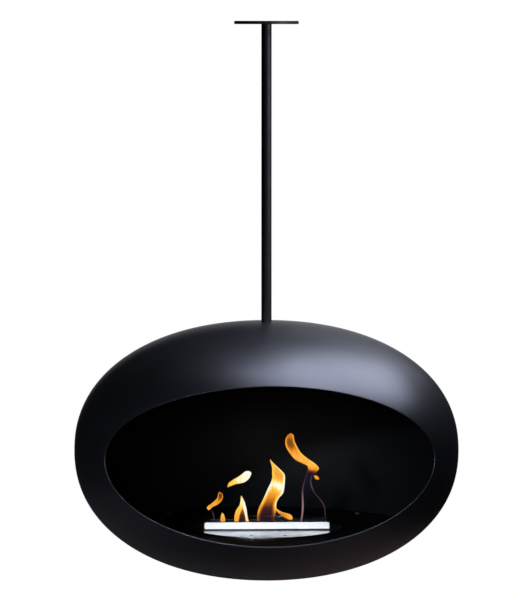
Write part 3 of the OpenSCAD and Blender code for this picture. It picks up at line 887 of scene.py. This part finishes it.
@dataclass
class Pole:
    """The ceiling plate, the collar and three tubes, end to end.

    Attributes:
        wall: Wall of the tubes.
        bevel: Rounding of the tubes' ends, which shows as a fine joint line.
        bore: Radius of the collar's thread.
        bevel_steps: Straight lines in a rounded edge.
        sides: Points round a tube.
    """

    wall: float = 0.002
    bevel: float = 0.0005
    bore: float = 0.00505
    bevel_steps: int = 4
    sides: int = 128

    def tube(self, name: str, node: str, inner: float) -> bpy.types.Object:
        """Makes one tube with rounded end edges in a node's place.

        Args:
            name: Name of the piece.
            node: Solid that it stands for.
            inner: Radius of its bore.

        Returns:
            The tube.
        """
        low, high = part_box(node)
        outer = high.x
        corners = np.array([[inner, low.z], [outer, low.z], [outer, high.z], [inner, high.z]])
        rings = turned(soften(corners, self.bevel, self.bevel_steps, True), self.sides)
        piece = Skin(name, rings, Ends.JOINED, [POLE_PAINT.material()], flats=True).build()
        return place(piece, Body.HANGER, "pole_paint", node)

    def build(self) -> None:
        """Makes the tubes and the collar and dresses the small parts."""
        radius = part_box("pole_upper")[1].x
        self.tube("collar", "ceiling_socket", self.bore)
        for part in ("upper", "middle", "lower"):
            self.tube(f"tube_{part}", f"pole_{part}", radius - self.wall)
        dress({"ceiling_plate": POLE_PAINT, "socket_grub_screw": SCREW_BLACK, "socket_stud": PLAIN_STEEL,
               "pole_end_plugs": PLAIN_STEEL, "pole_studs": PLAIN_STEEL, "swivel_bolt": PLAIN_STEEL,
               "thrust_washer": BRONZE})


# ---- Burner ----


@dataclass
class Burner:
    """Tray and head of the lift-out burner, and the solids under them.

    Attributes:
        sheet: Thickness of the tray's and the head's sheet.
        ledge: Metal of the tray inside the head.
        window_corner: Radius of the window's and the slot's corners.
        level: Width of the level ring inside the tray's rim.
        rim_bend: Bend at the foot of the rim.
        end_round: Radius of the head's upper edges at its ends.
        corner: Radius of the head's corners in plan.
        slot: Width and depth of the flame slot.
        slot_y: Y of the slot's middle.
        bevel: Rounding of cut edges.
        bevel_reach: How near to the head's long faces a point of its top has to lie to get their bevel.
        gap: Depth and height of the shadow gap between the head and the tray.
        gap_bend: Rounding of the gap's bends.
        leg: Length of the flat faces beside a cut edge in its profile.
        cut_steps: Straight lines in the curves of cut edges and the gap.
        bend_steps: Straight lines in the curves of the rim.
        cells: Cells from the tray's window to its rim, and over the rim's top.
        cover_steps: Rings of the head's top from the slot to its ends' rounding, of that and of the bevel.
        crease: Angle in degrees past which an edge stays sharp.
    """

    sheet: float = 0.0015
    ledge: float = 0.007
    window_corner: float = 0.004
    level: float = 0.012
    rim_bend: float = 0.0006
    end_round: float = 0.0035
    corner: float = 0.0008
    slot: Span = (0.184, 0.026)
    slot_y: float = -0.009
    bevel: float = 0.0004
    bevel_reach: float = 0.0009
    gap: Span = (0.0010, 0.0020)
    gap_bend: float = 0.0002
    leg: float = 0.002
    cut_steps: int = 3
    bend_steps: int = 5
    cells: int = 8
    cover_steps: tuple[int, int, int] = (5, 10, 5)
    crease: float = 50.0

    def _cut(self, low: float, high: float) -> np.ndarray:
        """Profile of a cut edge from a sheet's lower face to its upper one: distance from the cut, height."""
        corners = np.array([[self.leg, low], [0, low], [0, high], [self.leg, high]])
        return soften(corners, self.bevel, self.cut_steps, False)[1:-1]

    def _bend(self, *corners: Span) -> np.ndarray:
        """Curve at the foot of the rim: radius and height."""
        return soften(np.array(corners), self.rim_bend, self.bend_steps, False)[1:-1]

    def tray(self) -> bpy.types.Object:
        """Round tray with a window.

        Its level part is a straight blend (1 - s) window + s circle. The rim is upturned, with a round top.

        Returns:
            The tray.
        """
        low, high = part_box("burner_tray")
        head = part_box("burner_head")[1]
        radius, base, face = max(high.x, high.y), low.z, low.z + self.sheet
        window = rounded_outline((head.x - self.ledge) * 2, (head.y - self.ledge) * 2, self.window_corner)
        step = np.linalg.norm(np.roll(window, -1, axis=0) - window, axis=1)
        angle = (np.cumsum(step) - step[0]) / step.sum() * TURN + math.atan2(window[0, 1], window[0, 0])
        circle = np.stack([np.cos(angle), np.sin(angle)], -1)
        rim, inner = self.sheet / 2, radius - self.sheet
        lift = high.z - rim
        bow = np.radians(np.linspace(0, 180, self.cells + 1))
        wall = np.concatenate([
            self._bend((inner - self.level, face), (inner, face), (inner, lift)),
            np.stack([radius - rim - rim * np.cos(bow), lift + rim * np.sin(bow)], -1),
            self._bend((radius, lift), (radius, base), (radius - self.level, base)),
        ])
        share = np.linspace(0, 1, self.cells + 1)[:, None, None]
        plan = (1 - share) * window + share * circle * (inner - self.level)
        edge = self._cut(base, face)
        edge_plan = window + np.sign(window) * edge[:, :1, None]
        rings = np.concatenate([
            stacked(edge_plan, edge[:, 1]),
            stacked(plan[1:], np.full(self.cells, face)),
            stacked(circle * wall[:, :1, None], wall[:, 1]),
            stacked(plan[:0:-1], np.full(self.cells, base)),
        ])
        piece = Skin("tray_skin", rings, Ends.JOINED, [MIRROR_STEEL.material()], crease=self.crease,
                     flats=True).build()
        return place(piece, Body.BURNER, "polished_stainless", "burner_tray")

    def _crown(self, x: np.ndarray, half: float, radius: float) -> np.ndarray:
        """How far the head's top falls at a place near its ends: R - sqrt(R^2 - (|x| - (half - R))^2)."""
        past = np.clip(np.abs(x) - (half - radius), 0, radius)
        return radius - np.sqrt(np.maximum(radius**2 - past**2, 0))

    def _cover(self, width: float, depth: float, top: float, radius: float, slot: np.ndarray) -> np.ndarray:
        """Rings of the head's top from the slot out to its edge, then round the edge.

        A ring's plan lies R (1 - sin t) inside the outline, so that equal steps of t follow the rounded ends.
        The long edges get a small bevel, and the ends don't.

        Args:
            width: Width of the head's face.
            depth: Depth of the head's face.
            top: Height of the face.
            radius: Radius of the ends.
            slot: Outline of the slot.

        Returns:
            The rings, the last one on the upright side.
        """
        level, rounded, edge = self.cover_steps
        inset = radius * (1 - np.sin(np.linspace(0, math.pi / 2, rounded)))
        plans = np.stack([rounded_outline(width - 2 * d, depth - 2 * d, self.corner) for d in inset])
        share = np.linspace(0, 1, level)[1:-1, None, None]
        plans = np.concatenate([slot + (plans[0] - slot) * share, plans])
        heights = top - self._crown(plans[..., 0], width / 2, radius)
        rings = stacked(plans, heights)
        last = rings[-1]
        side = (np.abs(last[:, 1]) > depth / 2 - self.bevel_reach).astype(float)
        s = np.linspace(0, math.pi / 2, edge)[:, None]
        bevel = np.repeat(last[None], edge, axis=0)
        bevel[..., 1] -= np.sign(last[:, 1]) * side * self.bevel * (1 - np.sin(s))
        bevel[..., 2] -= side * self.bevel * (1 - np.cos(s))
        return np.concatenate([rings[:-1], bevel])

    def head(self) -> bpy.types.Object:
        """Folded head with rounded ends and a flame slot in its top.

        Its upright faces are bright, from the middle of the top's bevel to the end of the shadow gap's first
        bend. All the rest, the top and the inside of the shadow gap, is dark steel as painted shade.

        Returns:
            The head.
        """
        low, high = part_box("burner_head")
        width, depth, top, foot = high.x * 2, high.y * 2, high.z, low.z
        slot = rounded_outline(*self.slot, self.window_corner, self.slot_y)
        outer = self._cover(width, depth, top, self.end_round, slot)
        inner = self._cover(width - 2 * self.sheet, depth - 2 * self.sheet, top - self.sheet,
                            self.end_round - self.sheet, slot)
        back, rise = self.gap
        corners = np.array([[0, top], [0, foot + rise], [back, foot + rise], [back, foot], [self.sheet, foot],
                            [self.sheet, top]])
        hem = soften(corners, self.gap_bend, self.cut_steps, False)[1:-1]
        hem_plan = np.stack([rounded_outline(width - 2 * d, depth - 2 * d, self.corner) for d in hem[:, 0]])
        lip = self._cut(top - self.sheet, top)
        lip_plan = np.stack([
            rounded_outline(self.slot[0] + 2 * d, self.slot[1] + 2 * d, self.window_corner + d, self.slot_y)
            for d in lip[:, 0]
        ])
        rings = np.concatenate([stacked(lip_plan, lip[:, 1]), outer, stacked(hem_plan, hem[:, 1]), inner[::-1]])
        # Band 1, the dark steel, is painted shade on the top and in the shadow gap.
        band = np.ones(len(rings), int)
        edge = len(lip_plan) + len(outer)
        band[edge - (self.cover_steps[2] + 1) // 2: edge + self.cut_steps] = 0
        paints = [HEAD_STEEL.material(), DARK_STEEL_AND_SHADE.material()]
        piece = Skin("head_skin", rings, Ends.JOINED, paints, band, self.crease, flats=True).build()
        return place(piece, Body.BURNER, "satin_stainless", "burner_head")

    def build(self) -> None:
        """Makes the burner's skins and dresses its other parts."""
        self.tray()
        self.head()
        FibreBed().build()
        dress({"fuel_tank": TURNED_STEEL, "shutter_rails": BRUSHED_STEEL, "tray_screws": SCREW_BLACK,
               "tank_nuts": PLAIN_STEEL, "flame_shutter": DARK_STEEL_AND_SHADE})


@dataclass
class FibreBed:
    """Bed of mineral fibre with a tufted top, which follows the tank below.

    Attributes:
        gap: How far it stays inside the solid, at the wall and on average at the top.
        low_bend: Bend of its lower edge.
        high_bend: Bend of its upper edge.
        bend_steps: Straight lines in a bend.
        hub: Radius of its first and last ring.
        low_rings: Rings of its underside.
        high_rings: Rings of its top, the edge's own included.
        sides: Points in a ring.
        tuft: Greatest height of the tufts.
        waves: Number of waves that add up to them.
        wave_span: Least and greatest radians of a wave in a metre.
        calm: Power of that number by which the finer waves are lower.
        rise: The tufts have their full height after one part in this many of the way to the middle.
        seed: Start of the random numbers.
        crease: Angle in degrees past which an edge stays sharp.
    """

    gap: float = 0.0005
    low_bend: float = 0.006
    high_bend: float = 0.002
    bend_steps: int = 6
    hub: float = 0.0006
    low_rings: int = 6
    high_rings: int = 90
    sides: int = 200
    tuft: float = 0.002
    waves: int = 40
    wave_span: Span = (120, 900)
    calm: float = 0.6
    rise: float = 6.0
    seed: int = 7
    crease: float = 80.0

    def build(self) -> bpy.types.Object:
        """Makes the bed.

        Its top is a sum of waves of random direction and length, which dies away towards the edge.

        Returns:
            The bed.
        """
        low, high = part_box("ceramic_wool")
        radius = high.x - self.gap
        corners = np.array([[0, low.z], [radius, low.z], [radius, high.z], [0, high.z]])
        bends = np.array([0, self.low_bend, self.high_bend, 0])
        side = soften(corners, bends, self.bend_steps, False)[1:-1]
        top = np.linspace(radius - self.high_bend, self.hub, self.high_rings)
        start = np.linspace(self.hub, radius - self.low_bend, self.low_rings)
        profile = np.concatenate([
            np.stack([start, np.full(self.low_rings, low.z)], -1),
            side,
            np.stack([top, np.full(self.high_rings, high.z)], -1)[1:],
        ])
        rings = turned(profile, self.sides)
        rng = np.random.default_rng(self.seed)
        heading, wave = rng.uniform(0, TURN, self.waves), rng.uniform(*self.wave_span, self.waves)
        x, y = rings[..., 0, None], rings[..., 1, None]
        tufts = np.sin((x * np.cos(heading) + y * np.sin(heading)) * wave + rng.uniform(0, TURN, self.waves))
        height = (tufts / wave**self.calm).sum(-1)
        height *= self.tuft / np.abs(height).max()
        on_top = np.zeros(len(rings))
        on_top[1 - self.high_rings:] = np.minimum(1, np.linspace(0, self.rise, self.high_rings - 1))
        rings[..., 2] += (height - self.gap) * on_top[:, None]
        piece = Skin("fibre_bed", rings, Ends.POINTS, [FibreFinish().material()], crease=self.crease).build()
        return place(piece, Body.BURNER, "ceramic_fibre", "ceramic_wool")


# ---- Flames ----


@dataclass(frozen=True)
class Tongue:
    """One tongue of flame.

    Attributes:
        name: Name of the piece.
        finish: Its finish.
        rows: From one end to the other, X and Z of the left edge and of the right edge in millimetres, then the
            glow at the left edge, in the middle and at the right edge.
        y: Y of its middle.
        flatness: Half depth of a ring as a share of its half width.
        half_depth: Least and greatest half depth.
        core: Shares of the half width between which the middle's glow goes over to the edge's.
        steps: Rings from one row to the next.
        sides: Points in a ring.
        crease: Angle in degrees past which an edge stays sharp, which none does here.
    """

    name: str
    finish: FlameFinish
    rows: tuple[tuple[float, ...], ...]
    y: float = -0.0135
    flatness: float = 0.45
    half_depth: Span = (0.0004, 0.006)
    core: Span = (0.45, 0.98)
    steps: int = 7
    sides: int = 40
    crease: float = 180.0

    def build(self) -> bpy.types.Object:
        """Joins the rows by a Catmull-Rom curve and puts an oval ring round each step.

        Ring point a = middle + half width cos a, with y = half depth sin a.

        Returns:
            The tongue.
        """
        rows = np.array(self.rows) * ([MILLIMETRE] * 4 + [1.0] * 3)
        line = np.concatenate([2 * rows[:1] - rows[1:2], rows, 2 * rows[-1:] - rows[-2:-1]])
        before, start, end, after = (line[i: len(line) - 3 + i, None] for i in range(4))
        t = (np.arange(self.steps) / self.steps)[None, :, None]
        curve = (2 * start + (end - before) * t + (2 * before - 5 * start + 4 * end - after) * t**2
                 + (3 * start - before - 3 * end + after) * t**3) / 2
        at = np.concatenate([curve.reshape(-1, rows.shape[1]), rows[-1:]])[:, None]
        left, right = at[..., 0:2], at[..., 2:4]
        left_glow, middle_glow, right_glow = at[..., 4], at[..., 5], at[..., 6]
        angle = np.arange(self.sides) * TURN / self.sides
        across, through = np.cos(angle), np.sin(angle)
        middle, half = (right + left) / 2, (right - left) / 2
        depth = np.clip(self.flatness * np.linalg.norm(half, axis=-1), *self.half_depth)
        plan = middle + half * across[:, None]
        rings = np.stack([plan[..., 0], self.y + depth * through, plan[..., 1]], axis=-1)
        share = np.clip((np.abs(across) - self.core[0]) / (self.core[1] - self.core[0]), 0, 1)
        share = share * share * (3 - 2 * share)
        glow = middle_glow + (np.where(across < 0, left_glow, right_glow) - middle_glow) * share
        piece = Skin(self.name, rings, Ends.POINTS, [self.finish.material()], crease=self.crease,
                     values={"Glow": np.clip(glow, 0, 1)}).build()
        place(piece, Body.BURNER, None)
        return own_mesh(piece)


@dataclass(frozen=True)
class Flames:
    """The fire: tongues that rise from the slot, drawn from the left to the right."""

    tongues: tuple[Tongue, ...] = (
        Tongue("flame_left_curl", BRIGHT_FLAME, (
            (-93.5, -758.5, -93.5, -757, 0.6, 0.6, 0.6),
            (-90, -761, -92, -755, 0.72, 0.66, 0.7),
            (-84, -756, -86, -750.5, 0.6, 0.62, 0.66),
            (-77, -752.5, -81, -746.5, 0.66, 0.6, 0.64),
            (-71, -747, -77, -741.5, 0.62, 0.42, 0.6),
            (-68.5, -740, -76, -737, 0.6, 0.28, 0.58),
            (-69.5, -735.5, -75, -734, 0.5, 0.4, 0.5),
            (-73.5, -732.5, -74, -732.5, 0.5, 0.5, 0.5),
        )),
        Tongue("flame_bud", BRIGHT_FLAME, (
            (-72.5, -782, -65, -782.5, 0.6, 0.42, 0.6),
            (-72, -776, -65, -776.5, 0.7, 0.58, 0.72),
            (-71.5, -770.5, -66, -770.5, 0.72, 0.66, 0.74),
            (-70.5, -767, -67.5, -767, 0.7, 0.68, 0.7),
            (-69.5, -765.5, -69, -765.5, 0.62, 0.62, 0.62),
        )),
        Tongue("flame_small_left", BRIGHT_FLAME, (
            (-50, -781.5, -43.5, -781.5, 0.66, 0.55, 0.3),
            (-50.5, -774, -42.5, -775, 0.72, 0.66, 0.34),
            (-49.5, -766.5, -40.5, -768, 0.74, 0.68, 0.42),
            (-46.5, -759.5, -38, -761.5, 0.76, 0.72, 0.55),
            (-42.5, -753.5, -36.5, -755.5, 0.82, 0.84, 0.86),
            (-41, -747, -35.5, -749.5, 0.9, 0.94, 0.96),
            (-40.5, -742.5, -37, -744, 0.86, 0.9, 0.9),
            (-40, -739, -39.5, -739, 0.8, 0.8, 0.8),
        )),
        Tongue("flame_small_right", BRIGHT_FLAME, (
            (-32.5, -782.5, -26.5, -782.5, 0.7, 0.78, 0.72),
            (-34, -774, -29, -775, 0.74, 0.86, 0.8),
            (-35.5, -766.5, -30.5, -767, 0.8, 0.94, 0.88),
            (-37, -760, -31.5, -760, 0.86, 0.98, 0.92),
            (-38.5, -752.5, -33.5, -751.5, 0.94, 0.98, 0.92),
            (-40, -745, -36, -745, 0.9, 0.94, 0.88),
            (-39.5, -739, -39, -739, 0.8, 0.8, 0.8),
        )),
        Tongue("flame_small_veil", BRIGHT_FLAME, (
            (-45, -781.5, -31.5, -781.5, 0.3, 0.14, 0.2),
            (-44, -772, -33, -772, 0.5, 0.22, 0.2),
            (-42, -763.5, -35, -763.5, 0.55, 0.36, 0.34),
            (-39, -757, -36.5, -757, 0.6, 0.6, 0.6),
        )),
        Tongue("flame_loose", BRIGHT_FLAME, (
            (-61.5, -725.5, -61.5, -725, 0.62, 0.62, 0.62),
            (-55, -723, -59.5, -719, 0.72, 0.76, 0.7),
            (-48, -720.5, -52.5, -713.5, 0.72, 0.8, 0.74),
            (-40, -719, -44.5, -709, 0.9, 0.94, 0.9),
            (-33, -716.5, -38.5, -704.5, 0.96, 1, 0.96),
            (-27, -711, -33, -700.5, 0.98, 1, 0.98),
            (-24.5, -705.5, -28, -700, 0.98, 1, 0.98),
            (-24, -702.5, -26, -701, 0.95, 0.95, 0.95),
        )),
        Tongue("flame_tall", BRIGHT_FLAME, (
            (-15, -781.5, 11.5, -781.5, 0.34, 0.14, 0.2),
            (-15, -771, 12.5, -772.5, 0.4, 0.15, 0.3),
            (-14, -764, 14, -765.5, 0.56, 0.18, 0.5),
            (-11.5, -756.5, 14.5, -758.5, 0.70, 0.24, 0.78),
            (-7.5, -748.5, 14.5, -752.5, 0.80, 0.36, 0.88),
            (-2.5, -737.5, 18.5, -743.5, 0.90, 0.52, 0.92),
            (2, -727, 25.5, -735, 0.96, 0.72, 0.98),
            (6.5, -718, 27.5, -726, 0.95, 1, 1),
            (8.5, -711, 28.5, -715.5, 0.84, 0.72, 0.98),
            (8.5, -704, 28, -706, 0.82, 0.60, 0.97),
            (8.5, -697, 22.5, -699, 0.82, 0.66, 0.94),
            (7.5, -691, 14.5, -691.5, 0.84, 0.76, 0.92),
            (5, -682, 5.5, -682, 0.76, 0.76, 0.76),
        )),
        Tongue("flame_side_lobe", BRIGHT_FLAME, (
            (13, -745.5, 17, -744.5, 0.8, 0.85, 0.88),
            (12, -752.5, 15, -753, 0.6, 0.8, 0.88),
            (13, -759, 15.5, -759, 0.5, 0.72, 0.86),
            (16, -764.5, 18.5, -761.5, 0.36, 0.6, 0.78),
            (22.5, -770, 25, -765, 0.3, 0.48, 0.72),
            (30, -775, 32.5, -767, 0.34, 0.56, 0.76),
            (36.5, -777, 38, -769.5, 0.5, 0.64, 0.82),
            (40.5, -776, 40.5, -773, 0.72, 0.72, 0.72),
        )),
        Tongue("flame_high", BRIGHT_FLAME, (
            (37, -641, 39, -641, 0.5, 0.5, 0.5),
            (32, -644.5, 42, -644.5, 0.44, 0.46, 0.64),
            (29, -652, 43, -651.5, 0.58, 0.34, 0.68),
            (30, -661.5, 46.5, -660, 0.64, 0.36, 0.7),
            (35.5, -671.5, 53, -671, 0.66, 0.6, 0.74),
            (44, -682, 63, -680, 0.56, 0.68, 0.75),
            (55, -688, 73.5, -687, 0.52, 0.7, 0.75),
            (62.5, -691.5, 79.5, -692.5, 0.6, 0.7, 0.75),
            (64.5, -695.5, 81.5, -697, 0.5, 0.6, 0.7),
            (64, -700, 77.5, -701.5, 0.24, 0.28, 0.42),
            (63, -704, 73.5, -706, 0.1, 0.1, 0.14),
        )),
        Tongue("flame_drop", BRIGHT_FLAME, (
            (73.5, -708, 74, -707.5, 0.5, 0.5, 0.5),
            (75.5, -712, 78, -707.5, 0.52, 0.58, 0.52),
            (78.5, -714, 81, -710, 0.5, 0.56, 0.5),
            (82, -713.5, 82, -713, 0.44, 0.44, 0.44),
        )),
        Tongue("gas_left_stem", THIN_FLAME, (
            (-87, -760.5, -85.5, -760.5, 0.2, 0.2, 0.2),
            (-85.5, -765.5, -82.5, -765.5, 0.24, 0.3, 0.24),
            (-84, -771.5, -81.5, -771.5, 0.22, 0.3, 0.26),
            (-83.5, -782, -80.5, -782, 0.26, 0.3, 0.26),
        )),
        Tongue("gas_high_left_stem", THIN_FLAME, (
            (63, -699.5, 65, -700, 0.3, 0.3, 0.3),
            (59, -713.5, 60.5, -714, 0.36, 0.32, 0.2),
            (55.5, -728, 57.5, -728, 0.42, 0.38, 0.25),
            (55, -742, 57.5, -742, 0.48, 0.52, 0.38),
            (55, -755.5, 58, -756, 0.5, 0.56, 0.42),
            (54, -769.5, 57, -769.5, 0.48, 0.54, 0.4),
            (52, -782, 55, -782, 0.42, 0.5, 0.36),
        )),
        Tongue("gas_high_right_stem", THIN_FLAME, (
            (70.5, -704.5, 72, -704.5, 0.3, 0.3, 0.3),
            (68, -715.5, 70, -715.5, 0.3, 0.36, 0.3),
            (69, -725.5, 71.5, -724.5, 0.3, 0.38, 0.34),
            (75, -736.5, 76.3, -735, 0.24, 0.3, 0.26),
            (84, -747.5, 85.5, -745.8, 0.26, 0.32, 0.3),
            (89, -756, 90.5, -755, 0.26, 0.36, 0.34),
            (90.5, -765.5, 92, -765.5, 0.24, 0.34, 0.34),
            (91, -782, 93.5, -782, 0.2, 0.2, 0.2),
        )),
        Tongue("gas_high_veil", THIN_FLAME, (
            (62, -701.5, 71.5, -703.5, 0.18, 0.18, 0.18),
            (59, -716.5, 69, -716.5, 0.2, 0.18, 0.18),
            (56.5, -731, 72.5, -731, 0.16, 0.14, 0.14),
            (57, -746, 83.5, -746, 0.12, 0.09, 0.1),
            (57, -760.5, 90.5, -761, 0.1, 0.07, 0.1),
            (55, -782, 91.5, -782, 0.1, 0.06, 0.08),
        )),
        Tongue("gas_tall_streak", THIN_FLAME, (
            (5, -745.5, 7, -745.5, 0.5, 0.5, 0.5),
            (6.5, -755.5, 9, -755.5, 0.6, 0.5, 0.4),
            (8.5, -765.5, 11, -765.5, 0.5, 0.45, 0.35),
            (11, -781.5, 13, -781.5, 0.4, 0.36, 0.3),
        )),
        Tongue("gas_tall_veil", THIN_FLAME, (
            (15, -761.5, 16, -761.5, 0.1, 0.1, 0.1),
            (13, -766.5, 20, -767.5, 0.2, 0.2, 0.14),
            (12, -773.5, 24.5, -774, 0.2, 0.18, 0.1),
            (11.5, -781.5, 25.5, -781.5, 0.2, 0.12, 0.08),
        )),
    )

    def build(self) -> None:
        """Makes every tongue."""
        for tongue in self.tongues:
            tongue.build()


# ---- Studio ----


@dataclass(frozen=True)
class Lamp:
    """A rectangular lamp with a grid.

    Attributes:
        name: Name of the lamp.
        at: Its place.
        towards: The point that it faces.
        size: Width and height.
        watts: Power.
        colour: Colour of its light.
        spread: Degrees over which its grid lets the light out.
    """

    name: str
    at: Place
    towards: Place
    size: Span
    watts: float
    colour: Colour = (1.0, 1.0, 1.0)
    spread: float = 180.0

    def build(self) -> None:
        """Makes the lamp."""
        data = bpy.data.lights.new(self.name, "AREA")
        data.shape, data.size, data.size_y = "RECTANGLE", *self.size
        data.energy, data.color, data.spread = self.watts, self.colour, math.radians(self.spread)
        lamp = bpy.data.objects.new(self.name, data)
        lamp.location = self.at
        lamp.visible_camera = False
        lamp.rotation_mode = "QUATERNION"
        lamp.rotation_quaternion = (Vector(self.towards) - Vector(self.at)).to_track_quat("-Z", "Y")
        bpy.context.scene.collection.objects.link(lamp)


@dataclass(frozen=True)
class FloorFinish(Look):
    """Pale floor that keeps the object's shadow and turns white further out; other rays see painted shade on it.

    Attributes:
        name: Name of the material.
        pale: Colour that the camera sees.
        rough: Roughness.
        specular: Strength of its reflection.
        white_span: Distances from the middle between which it turns white.
        least_white: How white it is inside them.
        painted_shade: Painted shade that mirrors and bounced light see at the far left.
        painted_shades: Further right, the X between which it goes over to the next painted shade, and that
            shade.
    """

    name: str = "pale_floor"
    pale: Colour = (0.82, 0.82, 0.82)
    rough: float = 0.8
    specular: float = 0.2
    white_span: Span = (0.9, 2.7)
    least_white: float = 0.62
    painted_shade: Colour = (0.150, 0.125, 0.128)
    painted_shades: tuple[tuple[Span, Colour], ...] = (
        ((-1.1, -0.4), (0.082, 0.064, 0.055)),
        ((-0.35, 0.25), (0.150, 0.100, 0.085)),
        ((0.65, 1.15), (0.010, 0.007, 0.006)),
    )

    def shader(self, tree: Tree, where: bpy.types.NodeSocket) -> bpy.types.Node:
        """A plain surface, mixed with white light for the camera only; other rays see its painted shade colours.
        """
        flat = tree.add("ShaderNodeVectorMath", {0: where, 1: (1, 1, 0)}, operation="MULTIPLY").outputs[0]
        away = tree.add("ShaderNodeVectorMath", {0: flat}, operation="LENGTH").outputs["Value"]
        seen = tree.add("ShaderNodeLightPath").outputs["Is Camera Ray"]
        white = tree.maths("MULTIPLY", seen, tree.span(away, *self.white_span, (self.least_white, 1.0)))
        # Painted shade for other rays: darker than the pale floor and nearly black at the right.
        across, mirrored = tree.parts(where)[0], self.painted_shade
        for ends, painted_shade in self.painted_shades:
            mirrored = tree.blend(tree.span(across, *ends), mirrored, painted_shade)
        surface = tree.add("ShaderNodeBsdfPrincipled", {
            "Base Color": tree.blend(seen, mirrored, self.pale), "Roughness": self.rough,
            "Specular IOR Level": self.specular,
        })
        glow = tree.add("ShaderNodeEmission", {"Color": (1, 1, 1, 1), "Strength": 1.0})
        return tree.add("ShaderNodeMixShader", {0: white, 1: surface.outputs[0], 2: glow.outputs[0]})


@dataclass
class Studio:
    """Camera, floor, backdrop and lamps.

    Attributes:
        camera_at: Place of the camera.
        heading: Degrees by which the camera looks to the right of straight ahead.
        pitch: Degrees by which it looks up.
        lens: Focal length in millimetres.
        sensor: Width of the sensor in millimetres.
        clip: Nearest and furthest distance that it sees.
        floor_z: Height of the floor.
        floor_r: Radius of the floor.
        floor_sheet: Thickness of the floor.
        floor_hub: Radius of the floor's first and last ring.
        floor_sides: Points round the floor.
        ambient_left: Soft light from the left.
        ambient_right: Soft light from the right.
        ambient_span: Directions' X between which the one goes over to the other.
        card_span: Directions' Y between which mirrors come to see the white backdrop.
        lamps: The lamps.
    """

    camera_at: Place = (-0.1758, -5.3550, 0.0061)
    heading: float = 1.773
    pitch: float = -4.69
    lens: float = 207.06
    sensor: float = 36.0
    clip: Span = (0.1, 60.0)
    floor_z: float = -1.67
    floor_r: float = 3.0
    floor_sheet: float = 0.02
    floor_hub: float = 0.01
    floor_sides: int = 96
    ambient_left: Colour = (0.003, 0.003, 0.003)
    ambient_right: Colour = (0.001, 0.001, 0.001)
    ambient_span: Span = (-0.95, 0.35)
    card_span: Span = (0.975, 0.995)
    lamps: tuple[Lamp, ...] = (
        Lamp("key", (1.088, 0.576, 1.736), (0.12, -0.15, -0.56), (1.9, 2.8), 65.0, (0.94, 0.985, 1.03)),
        Lamp("back_card", (0.81, 2.12, 0.50), (0.12, -0.15, -0.56), (1.4, 0.9), 1.4, (0.97, 0.98, 1.0)),
        Lamp("left_fill", (-1.84, -2.96, 0.02), (-0.38, 0.0, -0.93), (1.4, 0.50), 3.0, (0.81, 0.90, 1.04), 11.0),
        Lamp("front_card", (-0.40, -3.03, -0.27), (0.0, 0.0, -0.85), (1.6, 0.6), 0.85, spread=18.0),
        Lamp("right_card", (2.00, -1.45, -0.25), (0.0, 0.0, 0.15), (2.8, 0.7), 4.0, (0.82, 0.90, 1.0), 36.0),
    )

    def camera(self) -> None:
        """Makes the camera."""
        data = bpy.data.cameras.new("camera")
        data.lens, data.sensor_width = self.lens, self.sensor
        data.clip_start, data.clip_end = self.clip
        camera = bpy.data.objects.new("camera", data)
        camera.location = self.camera_at
        camera.rotation_euler = (math.radians(90 + self.pitch), 0.0, -math.radians(self.heading))
        bpy.context.scene.collection.objects.link(camera)
        bpy.context.scene.camera = camera

    def world(self) -> None:
        """White backdrop for what the camera sees and for mirrors that face it, and dim soft light elsewhere."""
        world = bpy.data.worlds.new("studio")
        world.use_nodes = True
        tree = Tree(world.node_tree)
        where = tree.add("ShaderNodeTexCoord").outputs["Generated"]
        side = tree.parts(where)
        mask = tree.span(side[1], *self.card_span)
        soft = tree.blend(tree.span(side[0], *self.ambient_span), self.ambient_left, self.ambient_right)
        path = tree.add("ShaderNodeLightPath").outputs
        mirrored = tree.maths("MAXIMUM", path["Is Glossy Ray"], path["Is Transmission Ray"])
        seen = tree.maths("MAXIMUM", path["Is Camera Ray"], tree.maths("MULTIPLY", mirrored, mask))
        dim = tree.add("ShaderNodeBackground", {"Color": soft, "Strength": 1.0})
        white = tree.add("ShaderNodeBackground", {"Color": (1, 1, 1, 1), "Strength": 1.0})
        mixed = tree.add("ShaderNodeMixShader", {0: seen, 1: dim.outputs[0], 2: white.outputs[0]})
        tree.add("ShaderNodeOutputWorld", {"Surface": mixed.outputs[0]})
        bpy.context.scene.world = world

    def floor(self) -> None:
        """Makes the round floor, which is part of the stage."""
        hub, edge, below = self.floor_hub, self.floor_r, -self.floor_sheet
        profile = np.array([[hub, 0], [edge / 2, 0], [edge, 0], [edge, below], [hub, below]])
        rings = turned(profile, self.floor_sides, (0, 0, self.floor_z))
        floor = Skin("studio_floor", rings, Ends.POINTS, [FloorFinish().material()]).build()

    def build(self) -> None:
        """Makes the studio and keeps colours as they are written."""
        bpy.context.scene.view_settings.view_transform = "Standard"
        self.camera()
        self.world()
        self.floor()
        for lamp in self.lamps:
            lamp.build()


def main() -> None:
    """Builds the studio and the object, and logs the faces of each new piece."""
    logging.basicConfig(level=logging.INFO, format="%(name)s: %(message)s")
    Studio().build()
    Pole().build()
    Dome().build()
    Burner().build()
    Flames().build()


if __name__ == "__main__":
    main()
